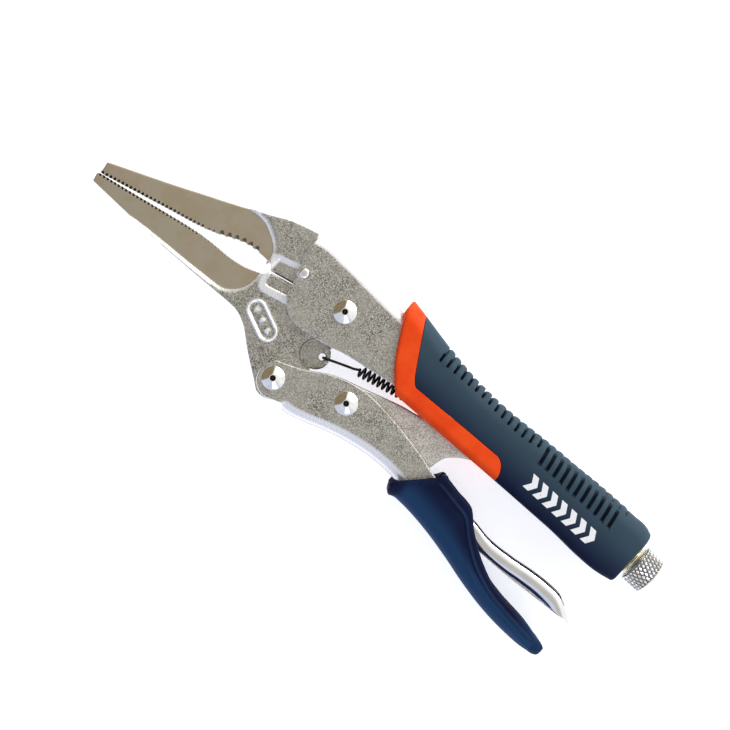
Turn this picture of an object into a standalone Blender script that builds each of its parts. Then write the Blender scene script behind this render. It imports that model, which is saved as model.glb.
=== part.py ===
"""Long-nose locking pliers: forged jaws, two pressed channel handles with rubber grips,
a toggle link, a release lever and an adjusting screw.

The pliers lie on their side. +X runs from the jaw tips to the adjusting knob, +Y from the
lower handle to the upper handle, +Z out of the side face. Outlines are in millimetres from
the main pivot, on the middle plane between the side faces; TOOL_CENTRE moves them so that
the whole tool is centred on the origin and rests on Z = 0.
"""
import math

import bpy
import bmesh
from mathutils import Matrix, Vector

MM = 0.001
GAP = 0.3                      # clearance between touching pieces

# Thickness across the tool, as half widths from the middle plane
JAW_HALF = 4.8                 # forged jaw body
NOSE_ROOT_HALF = 4.1           # ground nose where it leaves the body
NOSE_TIP_HALF = 3.0            # ground nose at the tip
CHANNEL_INNER = 5.1            # between the side plates of either handle
SHEET = 2.0                    # handle sheet thickness
CHANNEL_OUTER = CHANNEL_INNER + SHEET
BEND_RADIUS = 4.0              # outer radius where the sheet turns into the spine
GRIP_HALF = 10.5               # rubber grips
GRIP_BORE = CHANNEL_OUTER + GAP
LINK_HALF = 4.6
LEVER_HALF = 4.3
LEVER_SHEET = 1.2
LUG_HALF = 1.6                 # thinned lug that the spring hooks into

# Corner radii of the grips, seen along the tool
UPPER_GRIP_RADII = (6.0, 2.5)  # along the spine, along the open edge
LOWER_GRIP_RADII = (1.4, 1.4)  # along the open edge, along the spine

# Pivots and pins
MAIN_PIVOT = (0.0, 0.0)        # lower jaw on upper handle
JAW_HANDLE_PIVOT = (-2.7, -32.5)
LINK_PIVOT = (21.0, -22.2)
LINK_SEAT = (82.0, 4.4)        # round end of the link against the screw
RELEASE_PIVOT = (61.0, -26.7)
LINK_SEAT_RADIUS = 3.8
LOCATING_RIVET = (-18.8, 0.2)
LOCATING_HEAD = 1.8
LOCATING_SHANK = 1.3
SPRING_PIN = (50.0, -1.9)
SPRING_PIN_RADIUS = 1.5
RELEASE_PIN_RADIUS = 1.8
RIVET_HEAD = 4.1
RIVET_DOME = 1.2
RIVET_SHANK = 3.0
RIVET_HOLE = RIVET_SHANK + GAP

# Lug of the lower jaw for the spring, and the hole for its hook
SPRING_LUG = (1.7, -17.5)
SPRING_LUG_RADIUS = 5.2
SPRING_HOLE = (4.4, -16.3)
SPRING_HOLE_RADIUS = 1.3

# Adjusting screw, its nut and its knob, all round the same axis
SCREW_Y = 4.4
SCREW_RADIUS = 3.9
SCREW_TIP_X = 87.6             # stands clear of the link's round end
NUT_COLLAR = 5.6
NUT_FRONT_X = 108.0
KNOB_FRONT_X = 128.7
KNOB_REAR_X = 137.2
KNOB_RADIUS = 7.0

# Place of the main pivot when the tool is centred on the origin and rests on Z = 0
TOOL_CENTRE = Vector((-21.9, 11.95, GRIP_HALF))

ROUND_STEPS = 24
FAR = 60.0                     # larger than any outline, for cutting shapes
WELD = 0.002                   # corners closer than this become one after a cut


# ---------------------------------------------------------------- outlines

def arc(centre, radius, start, end, steps=8):
    """Points on a circle from one angle in degrees to another, both ends included."""
    points = []
    for i in range(steps + 1):
        angle = math.radians(start + (end - start) * i / steps)
        points.append((centre[0] + radius * math.cos(angle), centre[1] + radius * math.sin(angle)))
    return points


def smooth(points, steps=3):
    """A Catmull-Rom curve through the points."""
    curve = []
    last = len(points) - 1
    for i in range(last):
        p0, p1, p2, p3 = (Vector(points[min(max(k, 0), last)]) for k in (i - 1, i, i + 1, i + 2))
        for step in range(steps):
            t = step / steps
            curve.append(tuple(0.5 * (2 * p1 + (p2 - p0) * t + (2 * p0 - 5 * p1 + 4 * p2 - p3) * t ** 2
                                      + (3 * p1 - p0 - 3 * p2 + p3) * t ** 3)))
    curve.append(tuple(points[last]))
    return curve


def teeth(start, end, count, depth):
    """A saw-tooth line from start to end, cut to the right of its direction by depth."""
    a, b = Vector(start), Vector(end)
    along = (b - a) / count
    inward = Vector((along.y, -along.x)).normalized() * depth
    points = []
    for i in range(count):
        points.append(tuple(a + along * i))
        points.append(tuple(a + along * (i + 0.5) + inward))
    points.append(tuple(b))
    return points


def height_at(knots, x):
    """The height of a smooth line through the knots, held level past its ends."""
    if x <= knots[0][0]:
        return knots[0][1]
    if x >= knots[-1][0]:
        return knots[-1][1]
    i = max(k for k in range(len(knots) - 1) if knots[k][0] <= x)
    (x0, y0), (x1, y1) = knots[i], knots[i + 1]

    def slope(k):
        low, high = max(k - 1, 0), min(k + 1, len(knots) - 1)
        return (knots[high][1] - knots[low][1]) / (knots[high][0] - knots[low][0])

    span = x1 - x0
    t = (x - x0) / span
    return (y0 * (2 * t ** 3 - 3 * t ** 2 + 1) + y1 * (3 * t ** 2 - 2 * t ** 3)
            + slope(i) * span * (t ** 3 - 2 * t ** 2 + t) + slope(i + 1) * span * (t ** 3 - t ** 2))


def stations(start, end, step):
    """Both ends and the whole multiples of the step between them, so that pieces which
    follow the same line share their stations."""
    first, last = math.floor(start / step) + 1, math.ceil(end / step)
    return [start] + [i * step for i in range(first, last)] + [end]


def offset_line(points, distance):
    """An open line moved sideways, to the left of its direction."""
    moved = []
    for i, point in enumerate(points):
        before = Vector(points[max(i - 1, 0)])
        after = Vector(points[min(i + 1, len(points) - 1)])
        along = (after - before).normalized()
        moved.append((point[0] - along.y * distance, point[1] + along.x * distance))
    return moved


# ---------------------------------------------------------------- solids

def new_mesh(bm):
    """A closed mesh with its faces pointing out, from a bmesh that is then freed."""
    bmesh.ops.recalc_face_normals(bm, faces=bm.faces)
    mesh = bpy.data.meshes.new("solid")
    bm.to_mesh(mesh)
    bm.free()
    return mesh


def loft(rings):
    """A solid through rings of the same number of points, its two ends capped."""
    bm = bmesh.new()
    loops = [[bm.verts.new(point) for point in ring] for ring in rings]
    for near, far in zip(loops, loops[1:]):
        for k in range(len(near)):
            n = (k + 1) % len(near)
            bm.faces.new((near[k], near[n], far[n], far[k]))
    bm.faces.new(loops[0])
    bm.faces.new(loops[-1])
    return new_mesh(bm)


def prism(outline, half):
    """An outline extruded to both sides of the middle plane."""
    return loft([[(x, y, z) for x, y in outline] for z in (-half, half)])


def turned(profile, centre, axis="Z", steps=ROUND_STEPS):
    """A solid turned from (radius, distance along the axis) points, pointed at both ends."""
    bm = bmesh.new()
    loops = []
    for radius, along in profile:
        angles = (2 * math.pi * (k + 0.5) / steps for k in range(steps if radius > 0 else 1))
        loops.append([bm.verts.new((radius * math.cos(a), radius * math.sin(a), along)) for a in angles])
    for near, far in zip(loops, loops[1:]):
        for k in range(steps):
            n = (k + 1) % steps
            corners = [near[k % len(near)], near[n % len(near)], far[n % len(far)], far[k % len(far)]]
            bm.faces.new(list(dict.fromkeys(corners)))
    mesh = new_mesh(bm)
    if axis == "X":
        mesh.transform(Matrix.Rotation(math.pi / 2, 4, "Y"))
        mesh.transform(Matrix.Translation((0.0, centre[1], centre[2])))
    else:
        mesh.transform(Matrix.Translation((centre[0], centre[1], 0.0)))
    return mesh


def drill(centre, radius):
    """A cutter for a round hole right across the tool."""
    return turned([(0, -FAR), (radius, -FAR), (radius, FAR), (0, FAR)], centre)


def combine(target, tool, operation):
    """One mesh cut by, joined to or limited by another; both meshes are used up."""
    pair = [bpy.data.objects.new("working", mesh) for mesh in (target, tool)]
    for item in pair:
        bpy.context.scene.collection.objects.link(item)
    modifier = pair[0].modifiers.new("combine", "BOOLEAN")
    modifier.operation = operation
    modifier.solver = "EXACT"
    modifier.object = pair[1]
    bpy.context.view_layer.update()
    evaluated = pair[0].evaluated_get(bpy.context.evaluated_depsgraph_get())
    result = bpy.data.meshes.new_from_object(evaluated)
    for item in pair:
        bpy.data.objects.remove(item)
    for mesh in (target, tool):
        bpy.data.meshes.remove(mesh)
    bm = bmesh.new()
    bm.from_mesh(result)
    bmesh.ops.remove_doubles(bm, verts=bm.verts, dist=WELD)
    bmesh.ops.dissolve_degenerate(bm, edges=bm.edges, dist=WELD)
    bm.to_mesh(result)
    bm.free()
    return result


def cut(target, *tools):
    for tool in tools:
        target = combine(target, tool, "DIFFERENCE")
    return target


def folded_sheet(spine, start, end, step, outer, sheet, bend, side):
    """A U-shaped sheet along X. The spine line gives the outside of its web, and side is +1
    for a web above its open legs or -1 for a web below them."""
    inner = outer - sheet
    section = []
    for half, radius, drop in ((outer, bend, 0.0), (inner, bend - sheet, sheet)):
        corner = arc((half - radius, -drop - radius), radius, 0, 90, 3)
        line = [(half, -FAR)] + corner + [(-z, y) for z, y in reversed(corner)] + [(-half, -FAR)]
        section += line if drop == 0.0 else list(reversed(line))
    rings = []
    for x in stations(start, end, step):
        top = height_at(spine, x)
        rings.append([(x, top + side * y, z) for z, y in section])
    return loft(rings)


def grip_body(top, bottom, start, end, step, top_radius, bottom_radius, half_at):
    """A rounded bar along X between a top line and a bottom line."""
    rings = []
    for x in stations(start, end, step):
        high, low, half = height_at(top, x), height_at(bottom, x), half_at(x)
        ring = []
        for z_side, y_side, radius in ((1, 1, top_radius), (-1, 1, top_radius),
                                       (-1, -1, bottom_radius), (1, -1, bottom_radius)):
            edge = high if y_side > 0 else low
            corner = arc((half - radius, -radius), radius, 0, 90, 4)
            corner = [(z_side * z, edge + y_side * y) for z, y in corner]
            ring += corner if z_side * y_side > 0 else list(reversed(corner))
        rings.append([(x, y, z) for z, y in ring])
    return loft(rings)


def grip_bore(spine, edge, start, end, step, side):
    """The space inside a grip: the folded sheet with its clearance, and the open slot
    between its legs, which leaves a lip of rubber under each leg's edge."""
    rings = []
    chamfer = BEND_RADIUS * 0.5
    for x in stations(start, end, step):
        web = height_at(spine, x) + side * GAP
        lip = height_at(edge, x) - side * GAP
        wall = [(CHANNEL_INNER, lip - side * FAR), (CHANNEL_INNER, lip), (GRIP_BORE, lip),
                (GRIP_BORE, web - side * chamfer), (GRIP_BORE - chamfer, web)]
        ring = wall + [(-z, y) for z, y in reversed(wall)]
        rings.append([(x, y, z) for z, y in ring])
    return loft(rings)


# ---------------------------------------------------------------- bodies and materials

def material(name, colour, roughness, metallic):
    result = bpy.data.materials.new(name)
    result.use_nodes = True
    shader = result.node_tree.nodes["Principled BSDF"]
    shader.inputs["Base Color"].default_value = (*colour, 1.0)
    shader.inputs["Roughness"].default_value = roughness
    shader.inputs["Metallic"].default_value = metallic
    result.diffuse_color = (*colour, 1.0)
    return result


def body(name, pivot, parent=None):
    """An empty on a body's joint axis, which carries all of that body's pieces."""
    holder = bpy.data.objects.new(name, None)
    bpy.context.scene.collection.objects.link(holder)
    place = Vector((pivot[0], pivot[1], 0.0))
    holder["pivot"] = place
    if parent is None:
        holder.location = (place + TOOL_CENTRE) * MM
    else:
        holder.parent = parent
        holder.location = (place - Vector(parent["pivot"])) * MM
    return holder


def add(name, mesh, holder, finish):
    """A named piece, carried by its body and shaded smooth between sharp edges."""
    mesh.transform(Matrix.Translation(-Vector(holder["pivot"])))
    mesh.transform(Matrix.Scale(MM, 4))
    mesh.name = name
    mesh.materials.clear()
    mesh.materials.append(finish)
    mesh.shade_smooth()
    mesh.set_sharp_from_angle(angle=math.radians(30))
    piece = bpy.data.objects.new(name, mesh)
    bpy.context.scene.collection.objects.link(piece)
    piece.parent = holder
    return piece


# ---------------------------------------------------------------- jaws

THROAT = (-30.4, -7.3)         # centre of the round end of the gap between the jaws
UPPER_GRIP_LINE = ((-92.2, -20.95), (-55.0, -11.1))
LOWER_GRIP_LINE = ((-92.7, -21.75), (-55.0, -14.2))
NOSE_TIP_X = -93.3


def jaw_envelope():
    """The thickness of a jaw along its length: full behind the nose, thinner to the tip."""
    rings = []
    for x, half in ((-FAR * 2, NOSE_TIP_HALF), (NOSE_TIP_X, NOSE_TIP_HALF), (-29.5, NOSE_ROOT_HALF),
                    (-27.0, JAW_HALF), (FAR, JAW_HALF)):
        rings.append([(x, -FAR, -half), (x, FAR, -half), (x, FAR, half), (x, -FAR, half)])
    return loft(rings)


def upper_jaw():
    """Forged upper jaw; its tail fills the front of the upper handle."""
    back = smooth([(-24.0, 13.6), (-32.0, 11.2), (-40.0, 7.3), (-50.0, 2.3), (-60.0, -2.2),
                   (-70.0, -7.0), (-80.0, -11.2), (-85.0, -13.8), (-90.0, -15.7)], 2)
    tip = [(NOSE_TIP_X, -17.2), (NOSE_TIP_X, -19.3)]
    fine = teeth(*UPPER_GRIP_LINE, 25, -0.5)
    coarse = teeth((-49.5, -9.2), (-35.0, -4.9), 6, -0.9)
    throat = arc(THROAT, 2.5, 85, 15, 4)
    seam = [(-19.8, -4.7), (-12.0, -2.8)]
    heel = arc(MAIN_PIVOT, 9.8, 197, 112, 8)
    tail = [(-3.8, 10.4), (-22.8, 10.4), (-24.0, 11.2)]
    outline = back + tip + fine + coarse + throat + seam + heel + tail
    solid = combine(prism(outline, JAW_HALF), jaw_envelope(), "INTERSECT")
    return cut(solid, drill(LOCATING_RIVET, LOCATING_SHANK + GAP))


def lower_jaw():
    """Forged lower jaw with the pivot boss, the handle lug and the thin spring lug."""
    fine = teeth(*LOWER_GRIP_LINE, 25, 0.5)
    coarse = teeth((-49.5, -13.5), (-34.0, -11.3), 6, 0.8)
    throat = arc(THROAT, 2.5, -85, -2, 5)
    seam = [(-19.8, -5.3), (-12.0, -3.4)]
    boss = arc(MAIN_PIVOT, 9.4, 198, -50, 16)
    recess = arc(SPRING_LUG, SPRING_LUG_RADIUS + 0.8, 72, 290, 10)
    handle_lug = arc((-2.5, -32.6), 7.2, 25, -105, 9)
    belly = smooth([(-7.5, -37.2), (-15.0, -32.0), (-20.0, -28.0), (-25.0, -25.0), (-30.0, -24.1),
                    (-40.0, -24.5), (-60.0, -24.9), (-75.0, -25.1)], 2)
    web = [(4.2, -27.5)]
    tip = [(-92.1, -24.9)]
    outline = fine + coarse + throat + seam + boss + recess + web + handle_lug + belly + tip
    solid = combine(prism(outline, JAW_HALF), jaw_envelope(), "INTERSECT")
    neck = [(-5.5, -22.6), (2.0, -22.6), (2.0, -12.4), (-5.5, -12.4)]
    disc = prism(arc(SPRING_LUG, SPRING_LUG_RADIUS, 0, 345, 23), LUG_HALF)
    lug = combine(prism(neck, LUG_HALF), disc, "UNION")
    return cut(combine(solid, lug, "UNION"), drill(MAIN_PIVOT, RIVET_HOLE),
               drill(JAW_HANDLE_PIVOT, RIVET_HOLE), drill(SPRING_HOLE, SPRING_HOLE_RADIUS))


# ---------------------------------------------------------------- upper handle

UPPER_SPINE = ((-23.3, 13.4), (-20.0, 14.1), (-10.0, 14.3), (0.0, 13.9), (14.0, 13.2), (30.0, 12.2),
               (45.0, 10.6), (60.0, 10.2), (80.0, 11.3), (100.0, 12.3), (124.5, 12.6))
UPPER_EDGE = ((20.0, -8.5), (29.0, -7.0), (40.0, -6.9), (75.0, -6.3), (100.0, -5.4), (124.5, -4.8))
UPPER_CHANNEL_END = 124.5


def upper_channel():
    """Pressed upper handle: a folded sheet whose side plates carry the main pivot."""
    sheet = folded_sheet(UPPER_SPINE, -26.0, UPPER_CHANNEL_END, 8.0, CHANNEL_OUTER, SHEET, BEND_RADIUS, 1)
    front = [(-23.3, 30.0), (-23.3, 13.0), (-22.8, 4.0), (-21.2, 2.3)]
    boss = arc(LOCATING_RIVET, 2.6, 145, 250, 5)
    cheek = arc((-8.8, -3.7), 10.6, 186, 290, 12)
    edge = smooth([(0.0, -13.0), (10.0, -10.3), (20.0, -8.5)], 2)[:-1] + list(UPPER_EDGE)
    outline = front + boss + cheek + edge + [(UPPER_CHANNEL_END + 1.0, 30.0)]
    sheet = combine(sheet, prism(outline, FAR), "INTERSECT")
    return cut(sheet, drill(MAIN_PIVOT, RIVET_HOLE), drill(LOCATING_RIVET, LOCATING_SHANK + GAP),
               drill(SPRING_PIN, SPRING_PIN_RADIUS + GAP))


UPPER_GRIP_END = 126.3
UPPER_GRIP_TOP = ((14.0, 18.7), (20.0, 17.7), (30.0, 15.8), (45.0, 13.4), (60.0, 12.8), (80.0, 14.0),
                  (100.0, 15.1), (118.0, 15.5), (122.0, 15.3), (UPPER_GRIP_END, 12.2))
UPPER_GRIP_BOTTOM = ((14.0, -9.2), (31.0, -9.0), (50.0, -8.4), (75.0, -7.6), (100.0, -7.0), (122.0, -6.5),
                     (UPPER_GRIP_END, -5.3))
TRIM_LINE = ((21.3, 18.5), (21.5, 16.5), (25.0, 10.5), (31.0, 1.0), (33.0, -1.5), (34.5, -2.5), (55.0, -1.5),
             (70.0, -0.9), (72.5, -2.0), (74.5, -5.0), (74.8, -9.0))


def upper_sleeve():
    """The whole upper grip, before it is divided into its two colours."""
    solid = grip_body(UPPER_GRIP_TOP, UPPER_GRIP_BOTTOM, 13.0, UPPER_GRIP_END, 8.0, *UPPER_GRIP_RADII,
                      lambda x: GRIP_HALF - max(0.0, x - 118.0) * 0.12)
    front = [(14.2, 25.0), (14.2, 17.3), (15.0, 15.0), (18.0, 10.0), (22.0, 3.5), (25.0, -1.0), (28.0, -5.0),
             (31.0, -9.0), (31.0, -15.0), (130.0, -15.0), (130.0, 25.0)]
    solid = combine(solid, prism(front, FAR), "INTERSECT")
    solid = cut(solid, grip_bore(UPPER_SPINE, UPPER_EDGE, 0.0, UPPER_CHANNEL_END + GAP, 8.0, 1))
    mouth = NUT_COLLAR + GAP
    return cut(solid, turned([(0, 110), (mouth, 110), (mouth, 130), (0, 130)], (0, SCREW_Y, 0), "X"))


def upper_grip():
    """Dark rubber of the upper grip."""
    region = list(TRIM_LINE) + [(74.8, -20.0), (135.0, -20.0), (135.0, 30.0), (21.3, 30.0)]
    return combine(upper_sleeve(), prism(region, FAR), "INTERSECT")


def upper_grip_trim():
    """Bright rubber collar of the upper grip, running back along its lower edge."""
    line = offset_line(TRIM_LINE, -GAP)
    region = line + [(line[-1][0], -20.0), (0.0, -20.0), (0.0, 30.0), (line[0][0], 30.0)]
    return combine(upper_sleeve(), prism(region, FAR), "INTERSECT")


# ---------------------------------------------------------------- lower handle

LOWER_SPINE = ((5.5, -38.5), (8.5, -38.3), (15.0, -36.4), (20.0, -34.5), (30.0, -31.6), (40.0, -30.0),
               (50.0, -30.0), (60.0, -31.8), (70.0, -33.1), (80.0, -35.1), (90.0, -37.4), (100.0, -39.1),
               (110.0, -40.0), (120.0, -39.8))
LOWER_EDGE = ((0.0, -25.0), (5.0, -22.2), (10.0, -19.0), (15.0, -16.8), (20.0, -15.4), (25.0, -14.8),
              (30.0, -14.9), (40.0, -16.0), (50.0, -17.8), (60.0, -20.2), (75.0, -22.6), (80.0, -26.0),
              (88.0, -31.2), (97.0, -34.6), (110.0, -36.5), (120.0, -37.6))
LOWER_CHANNEL_END = 119.5


def lower_channel():
    """Pressed lower handle: a folded sheet whose flat round ears carry the lower jaw."""
    web_front = 6.0
    sheet = folded_sheet(LOWER_SPINE, web_front, LOWER_CHANNEL_END, 8.0, CHANNEL_OUTER, SHEET, BEND_RADIUS, -1)
    edge = [(x, height_at(LOWER_EDGE, x)) for x in stations(0.0, LOWER_CHANNEL_END, 4.0)]
    outline = [(web_front - 1.0, -60.0), (LOWER_CHANNEL_END + 1.0, -60.0)] + list(reversed(edge))
    sheet = combine(sheet, prism(outline, FAR), "INTERSECT")
    ear = arc((-1.6, -32.8), 6.3, 155, 298, 12) + [(3.8, -37.2), (6.5, -36.0), (14.0, -31.0), (14.0, -20.0)]
    ear += [(x, height_at(LOWER_EDGE, x)) for x in (12.0, 8.0, 4.0, 0.0)] + [(-3.0, -26.2), (-6.0, -27.4)]
    ears = cut(prism(ear, CHANNEL_OUTER), prism([(-20, -50), (30, -50), (30, 0), (-20, 0)], CHANNEL_INNER))
    return cut(combine(sheet, ears, "UNION"), drill(JAW_HANDLE_PIVOT, RIVET_HOLE),
               drill(LINK_PIVOT, RIVET_HOLE), drill(RELEASE_PIVOT, RELEASE_PIN_RADIUS + GAP))


LOWER_GRIP_END = 124.9
LOWER_GRIP_TOP = ((48.0, -17.0), (61.0, -17.2), (70.0, -18.6), (75.5, -19.5), (80.0, -23.5), (84.0, -26.5),
                  (88.0, -29.0), (92.0, -31.0), (97.0, -33.0), (103.0, -34.2), (117.0, -35.7),
                  (LOWER_GRIP_END, -37.6))
LOWER_GRIP_BOTTOM = ((48.0, -34.3), (60.0, -34.4), (70.0, -35.6), (80.0, -37.6), (90.0, -40.0),
                     (100.0, -41.8), (112.0, -42.6), (119.0, -42.3), (LOWER_GRIP_END, -41.0))


def lower_grip():
    """Dark rubber sleeve of the lower handle, open along its inner side for the lever."""
    solid = grip_body(LOWER_GRIP_TOP, LOWER_GRIP_BOTTOM, 48.0, LOWER_GRIP_END, 6.0, *LOWER_GRIP_RADII,
                      lambda x: GRIP_HALF - max(0.0, x - 112.0) * 0.16)
    front = [(49.3, -31.7), (50.6, -40.0), (50.6, -60.0), (130.0, -60.0), (130.0, -10.0), (61.0, -10.0),
             (61.0, -17.2), (60.2, -19.0)]
    solid = combine(solid, prism(front, FAR), "INTERSECT")
    return cut(solid, grip_bore(LOWER_SPINE, LOWER_EDGE, 40.0, LOWER_CHANNEL_END + GAP, 4.0, -1))


# ---------------------------------------------------------------- link and lever

def toggle_link():
    """Solid link from the lower handle to the end of the adjusting screw."""
    ear = arc(LINK_PIVOT, 7.0, 100, 285, 12)
    belly = smooth([(34.0, -26.4), (44.0, -24.6), (53.5, -24.2)], 2)
    heel = [(55.6, -23.2), (56.3, -21.5), (56.3, -19.0), (57.5, -14.0), (60.0, -11.0), (64.0, -8.3)]
    heel += [(74.0, -3.2)]
    seat = arc(LINK_SEAT, LINK_SEAT_RADIUS, -75, 120, 10)
    top = smooth([(70.0, 2.4), (60.0, -1.9), (50.0, -6.0), (41.0, -9.0), (35.0, -10.4), (22.0, -14.6)], 2)
    return cut(prism(ear + belly + heel + seat + top, LINK_HALF), drill(LINK_PIVOT, RIVET_HOLE))


LEVER_END = 126.2
LEVER_TOP = ((51.5, -26.4), (54.0, -25.6), (61.0, -24.0), (70.0, -22.3), (79.0, -21.8), (87.0, -22.8),
             (97.0, -22.1), (105.0, -20.9), (112.0, -20.3), (118.0, -20.7), (122.5, -22.7), (LEVER_END, -25.2))


def release_lever():
    """Pressed release lever: a narrow folded sheet between the lower handle's side plates."""
    sheet = folded_sheet(LEVER_TOP, 51.5, LEVER_END, 5.0, LEVER_HALF, LEVER_SHEET, 2.0, 1)
    ear = arc(RELEASE_PIVOT, 2.7, 235, 285, 3)
    past_end = LEVER_END + 0.5
    outline = [(51.0, -10.0), (51.0, -26.8), (52.5, -27.3)] + ear
    outline += smooth([(75.0, -29.2), (87.0, -28.6), (100.0, -28.0), (110.0, -26.9), (past_end, -25.8)], 2)
    sheet = combine(sheet, prism(outline + [(past_end, -10.0)], FAR), "INTERSECT")
    return cut(sheet, drill(RELEASE_PIVOT, RELEASE_PIN_RADIUS + GAP))


# ---------------------------------------------------------------- fasteners and spring

def rivet(centre, head, shank, dome):
    """A rivet through the tool with a low domed head on each side and a dimple in each head."""
    seat = CHANNEL_OUTER + GAP
    half = [(0, seat + dome - 0.4), (head * 0.3, seat + dome), (head * 0.7, seat + dome * 0.75),
            (head, seat + dome * 0.2), (head, seat), (shank, seat)]
    profile = half + [(radius, -along) for radius, along in reversed(half)]
    return turned(profile, centre)


def plain_pin(centre, radius, reach):
    return turned([(0, -reach), (radius, -reach), (radius, reach), (0, reach)], centre, steps=16)


def tension_spring():
    """Outer shape of the coil, with its straight wire to the lug and its hook on the pin."""
    coil_start, coil_end = (15.8, -11.6), (44.5, -4.3)
    wire, coil = 0.5, 2.15
    path = [(*SPRING_HOLE, 2.6, wire), (6.9, -15.5, 2.6, wire), (8.6, -14.8, 1.6, wire),
            (coil_start[0] - 0.3, coil_start[1] - 0.1, 0.0, wire), (*coil_start, 0.0, coil),
            (*coil_end, 0.0, coil), (coil_end[0] + 0.3, coil_end[1] + 0.1, 0.0, wire), (47.8, -3.6, 0.0, wire)]
    rings = []
    for i, (x, y, z, radius) in enumerate(path):
        before, after = path[max(i - 1, 0)], path[min(i + 1, len(path) - 1)]
        along = Vector((after[0] - before[0], after[1] - before[1], 0.0)).normalized()
        side, up = Vector((-along.y, along.x, 0.0)), Vector((0, 0, 1))
        rings.append([Vector((x, y, z)) + radius * (side * math.cos(a) + up * math.sin(a))
                      for a in (2 * math.pi * k / 12 for k in range(12))])
    return loft(rings)


# ---------------------------------------------------------------- screw

def adjusting_screw():
    profile = [(0, SCREW_TIP_X), (SCREW_RADIUS - 1.2, SCREW_TIP_X), (SCREW_RADIUS, SCREW_TIP_X + 1.2),
               (SCREW_RADIUS, KNOB_FRONT_X - GAP), (0, KNOB_FRONT_X - GAP)]
    return turned(profile, (0, SCREW_Y, 0), "X", 20)


def end_nut():
    """Threaded nut in the end of the upper handle, with a round collar behind the grip."""
    bore, barrel = SCREW_RADIUS + GAP, CHANNEL_INNER - 0.2
    front, step, rear = NUT_FRONT_X, UPPER_CHANNEL_END + GAP, KNOB_FRONT_X - 2 * GAP
    outside = turned([(0, front), (barrel, front), (barrel, step), (NUT_COLLAR, step), (NUT_COLLAR, rear),
                      (0, rear)], (0, SCREW_Y, 0), "X")
    return cut(outside, turned([(0, 100), (bore, 100), (bore, 140), (0, 140)], (0, SCREW_Y, 0), "X"))


def screw_knob():
    """Round knob with a narrow neck next to the nut and a chamfered rim at each end."""
    neck, step, chamfer = KNOB_FRONT_X + 0.4, 1.0, 1.0
    profile = [(0, KNOB_FRONT_X), (KNOB_RADIUS - step, KNOB_FRONT_X), (KNOB_RADIUS - step, neck),
               (KNOB_RADIUS - 0.2, neck), (KNOB_RADIUS, neck + 0.4), (KNOB_RADIUS, KNOB_REAR_X - chamfer),
               (KNOB_RADIUS - chamfer, KNOB_REAR_X), (0, KNOB_REAR_X)]
    return turned(profile, (0, SCREW_Y, 0), "X", 32)


# ---------------------------------------------------------------- assembly

def main():
    for item in list(bpy.data.objects):
        bpy.data.objects.remove(item)

    nickel = material("pebbled_nickel", (0.30, 0.29, 0.26), 0.42, 0.9)
    bright = material("bright_nickel", (0.75, 0.75, 0.74), 0.18, 1.0)
    chrome = material("lever_chrome", (0.70, 0.70, 0.72), 0.10, 1.0)
    grey = material("link_steel", (0.42, 0.41, 0.38), 0.60, 0.7)
    black = material("spring_black", (0.02, 0.02, 0.02), 0.40, 0.5)
    navy = material("navy_rubber", (0.010, 0.022, 0.075), 0.55, 0.0)
    orange = material("orange_rubber", (0.82, 0.08, 0.006), 0.50, 0.0)
    brass = material("nut_steel", (0.50, 0.42, 0.22), 0.35, 0.9)

    upper = body("upper_handle_body", MAIN_PIVOT)
    jaw = body("lower_jaw_body", MAIN_PIVOT, upper)
    handle = body("lower_handle_body", JAW_HANDLE_PIVOT, jaw)
    link = body("toggle_link_body", LINK_PIVOT, handle)
    lever = body("release_lever_body", RELEASE_PIVOT, handle)
    screw = body("adjusting_screw_body", (KNOB_FRONT_X, SCREW_Y), upper)
    knob = body("screw_knob_body", (KNOB_FRONT_X, SCREW_Y), screw)

    add("upper_channel", upper_channel(), upper, nickel)
    add("upper_jaw", upper_jaw(), upper, nickel)
    add("jaw_locating_rivet", rivet(LOCATING_RIVET, LOCATING_HEAD, LOCATING_SHANK, 0.5), upper, bright)
    add("main_pivot_rivet", rivet(MAIN_PIVOT, RIVET_HEAD, RIVET_SHANK, RIVET_DOME), upper, bright)
    add("spring_anchor_pin", plain_pin(SPRING_PIN, SPRING_PIN_RADIUS, CHANNEL_OUTER), upper, grey)
    add("tension_spring", tension_spring(), upper, black)
    add("end_nut", end_nut(), upper, brass)
    add("upper_grip", upper_grip(), upper, navy)
    add("upper_grip_trim", upper_grip_trim(), upper, orange)

    add("lower_jaw", lower_jaw(), jaw, nickel)
    add("jaw_handle_rivet", rivet(JAW_HANDLE_PIVOT, RIVET_HEAD, RIVET_SHANK, RIVET_DOME), jaw, bright)

    add("lower_channel", lower_channel(), handle, nickel)
    add("lower_grip", lower_grip(), handle, navy)
    add("link_rivet", rivet(LINK_PIVOT, RIVET_HEAD, RIVET_SHANK, RIVET_DOME), handle, bright)
    add("release_pin", plain_pin(RELEASE_PIVOT, RELEASE_PIN_RADIUS, CHANNEL_OUTER), handle, grey)

    add("toggle_link", toggle_link(), link, grey)
    add("release_lever", release_lever(), lever, chrome)
    add("adjusting_screw", adjusting_screw(), screw, bright)
    add("screw_knob", screw_knob(), knob, bright)


if __name__ == "__main__":
    main()
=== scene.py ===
import math

import bmesh
import bpy
import numpy as np
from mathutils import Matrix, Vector
from mathutils.geometry import delaunay_2d_cdt

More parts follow.
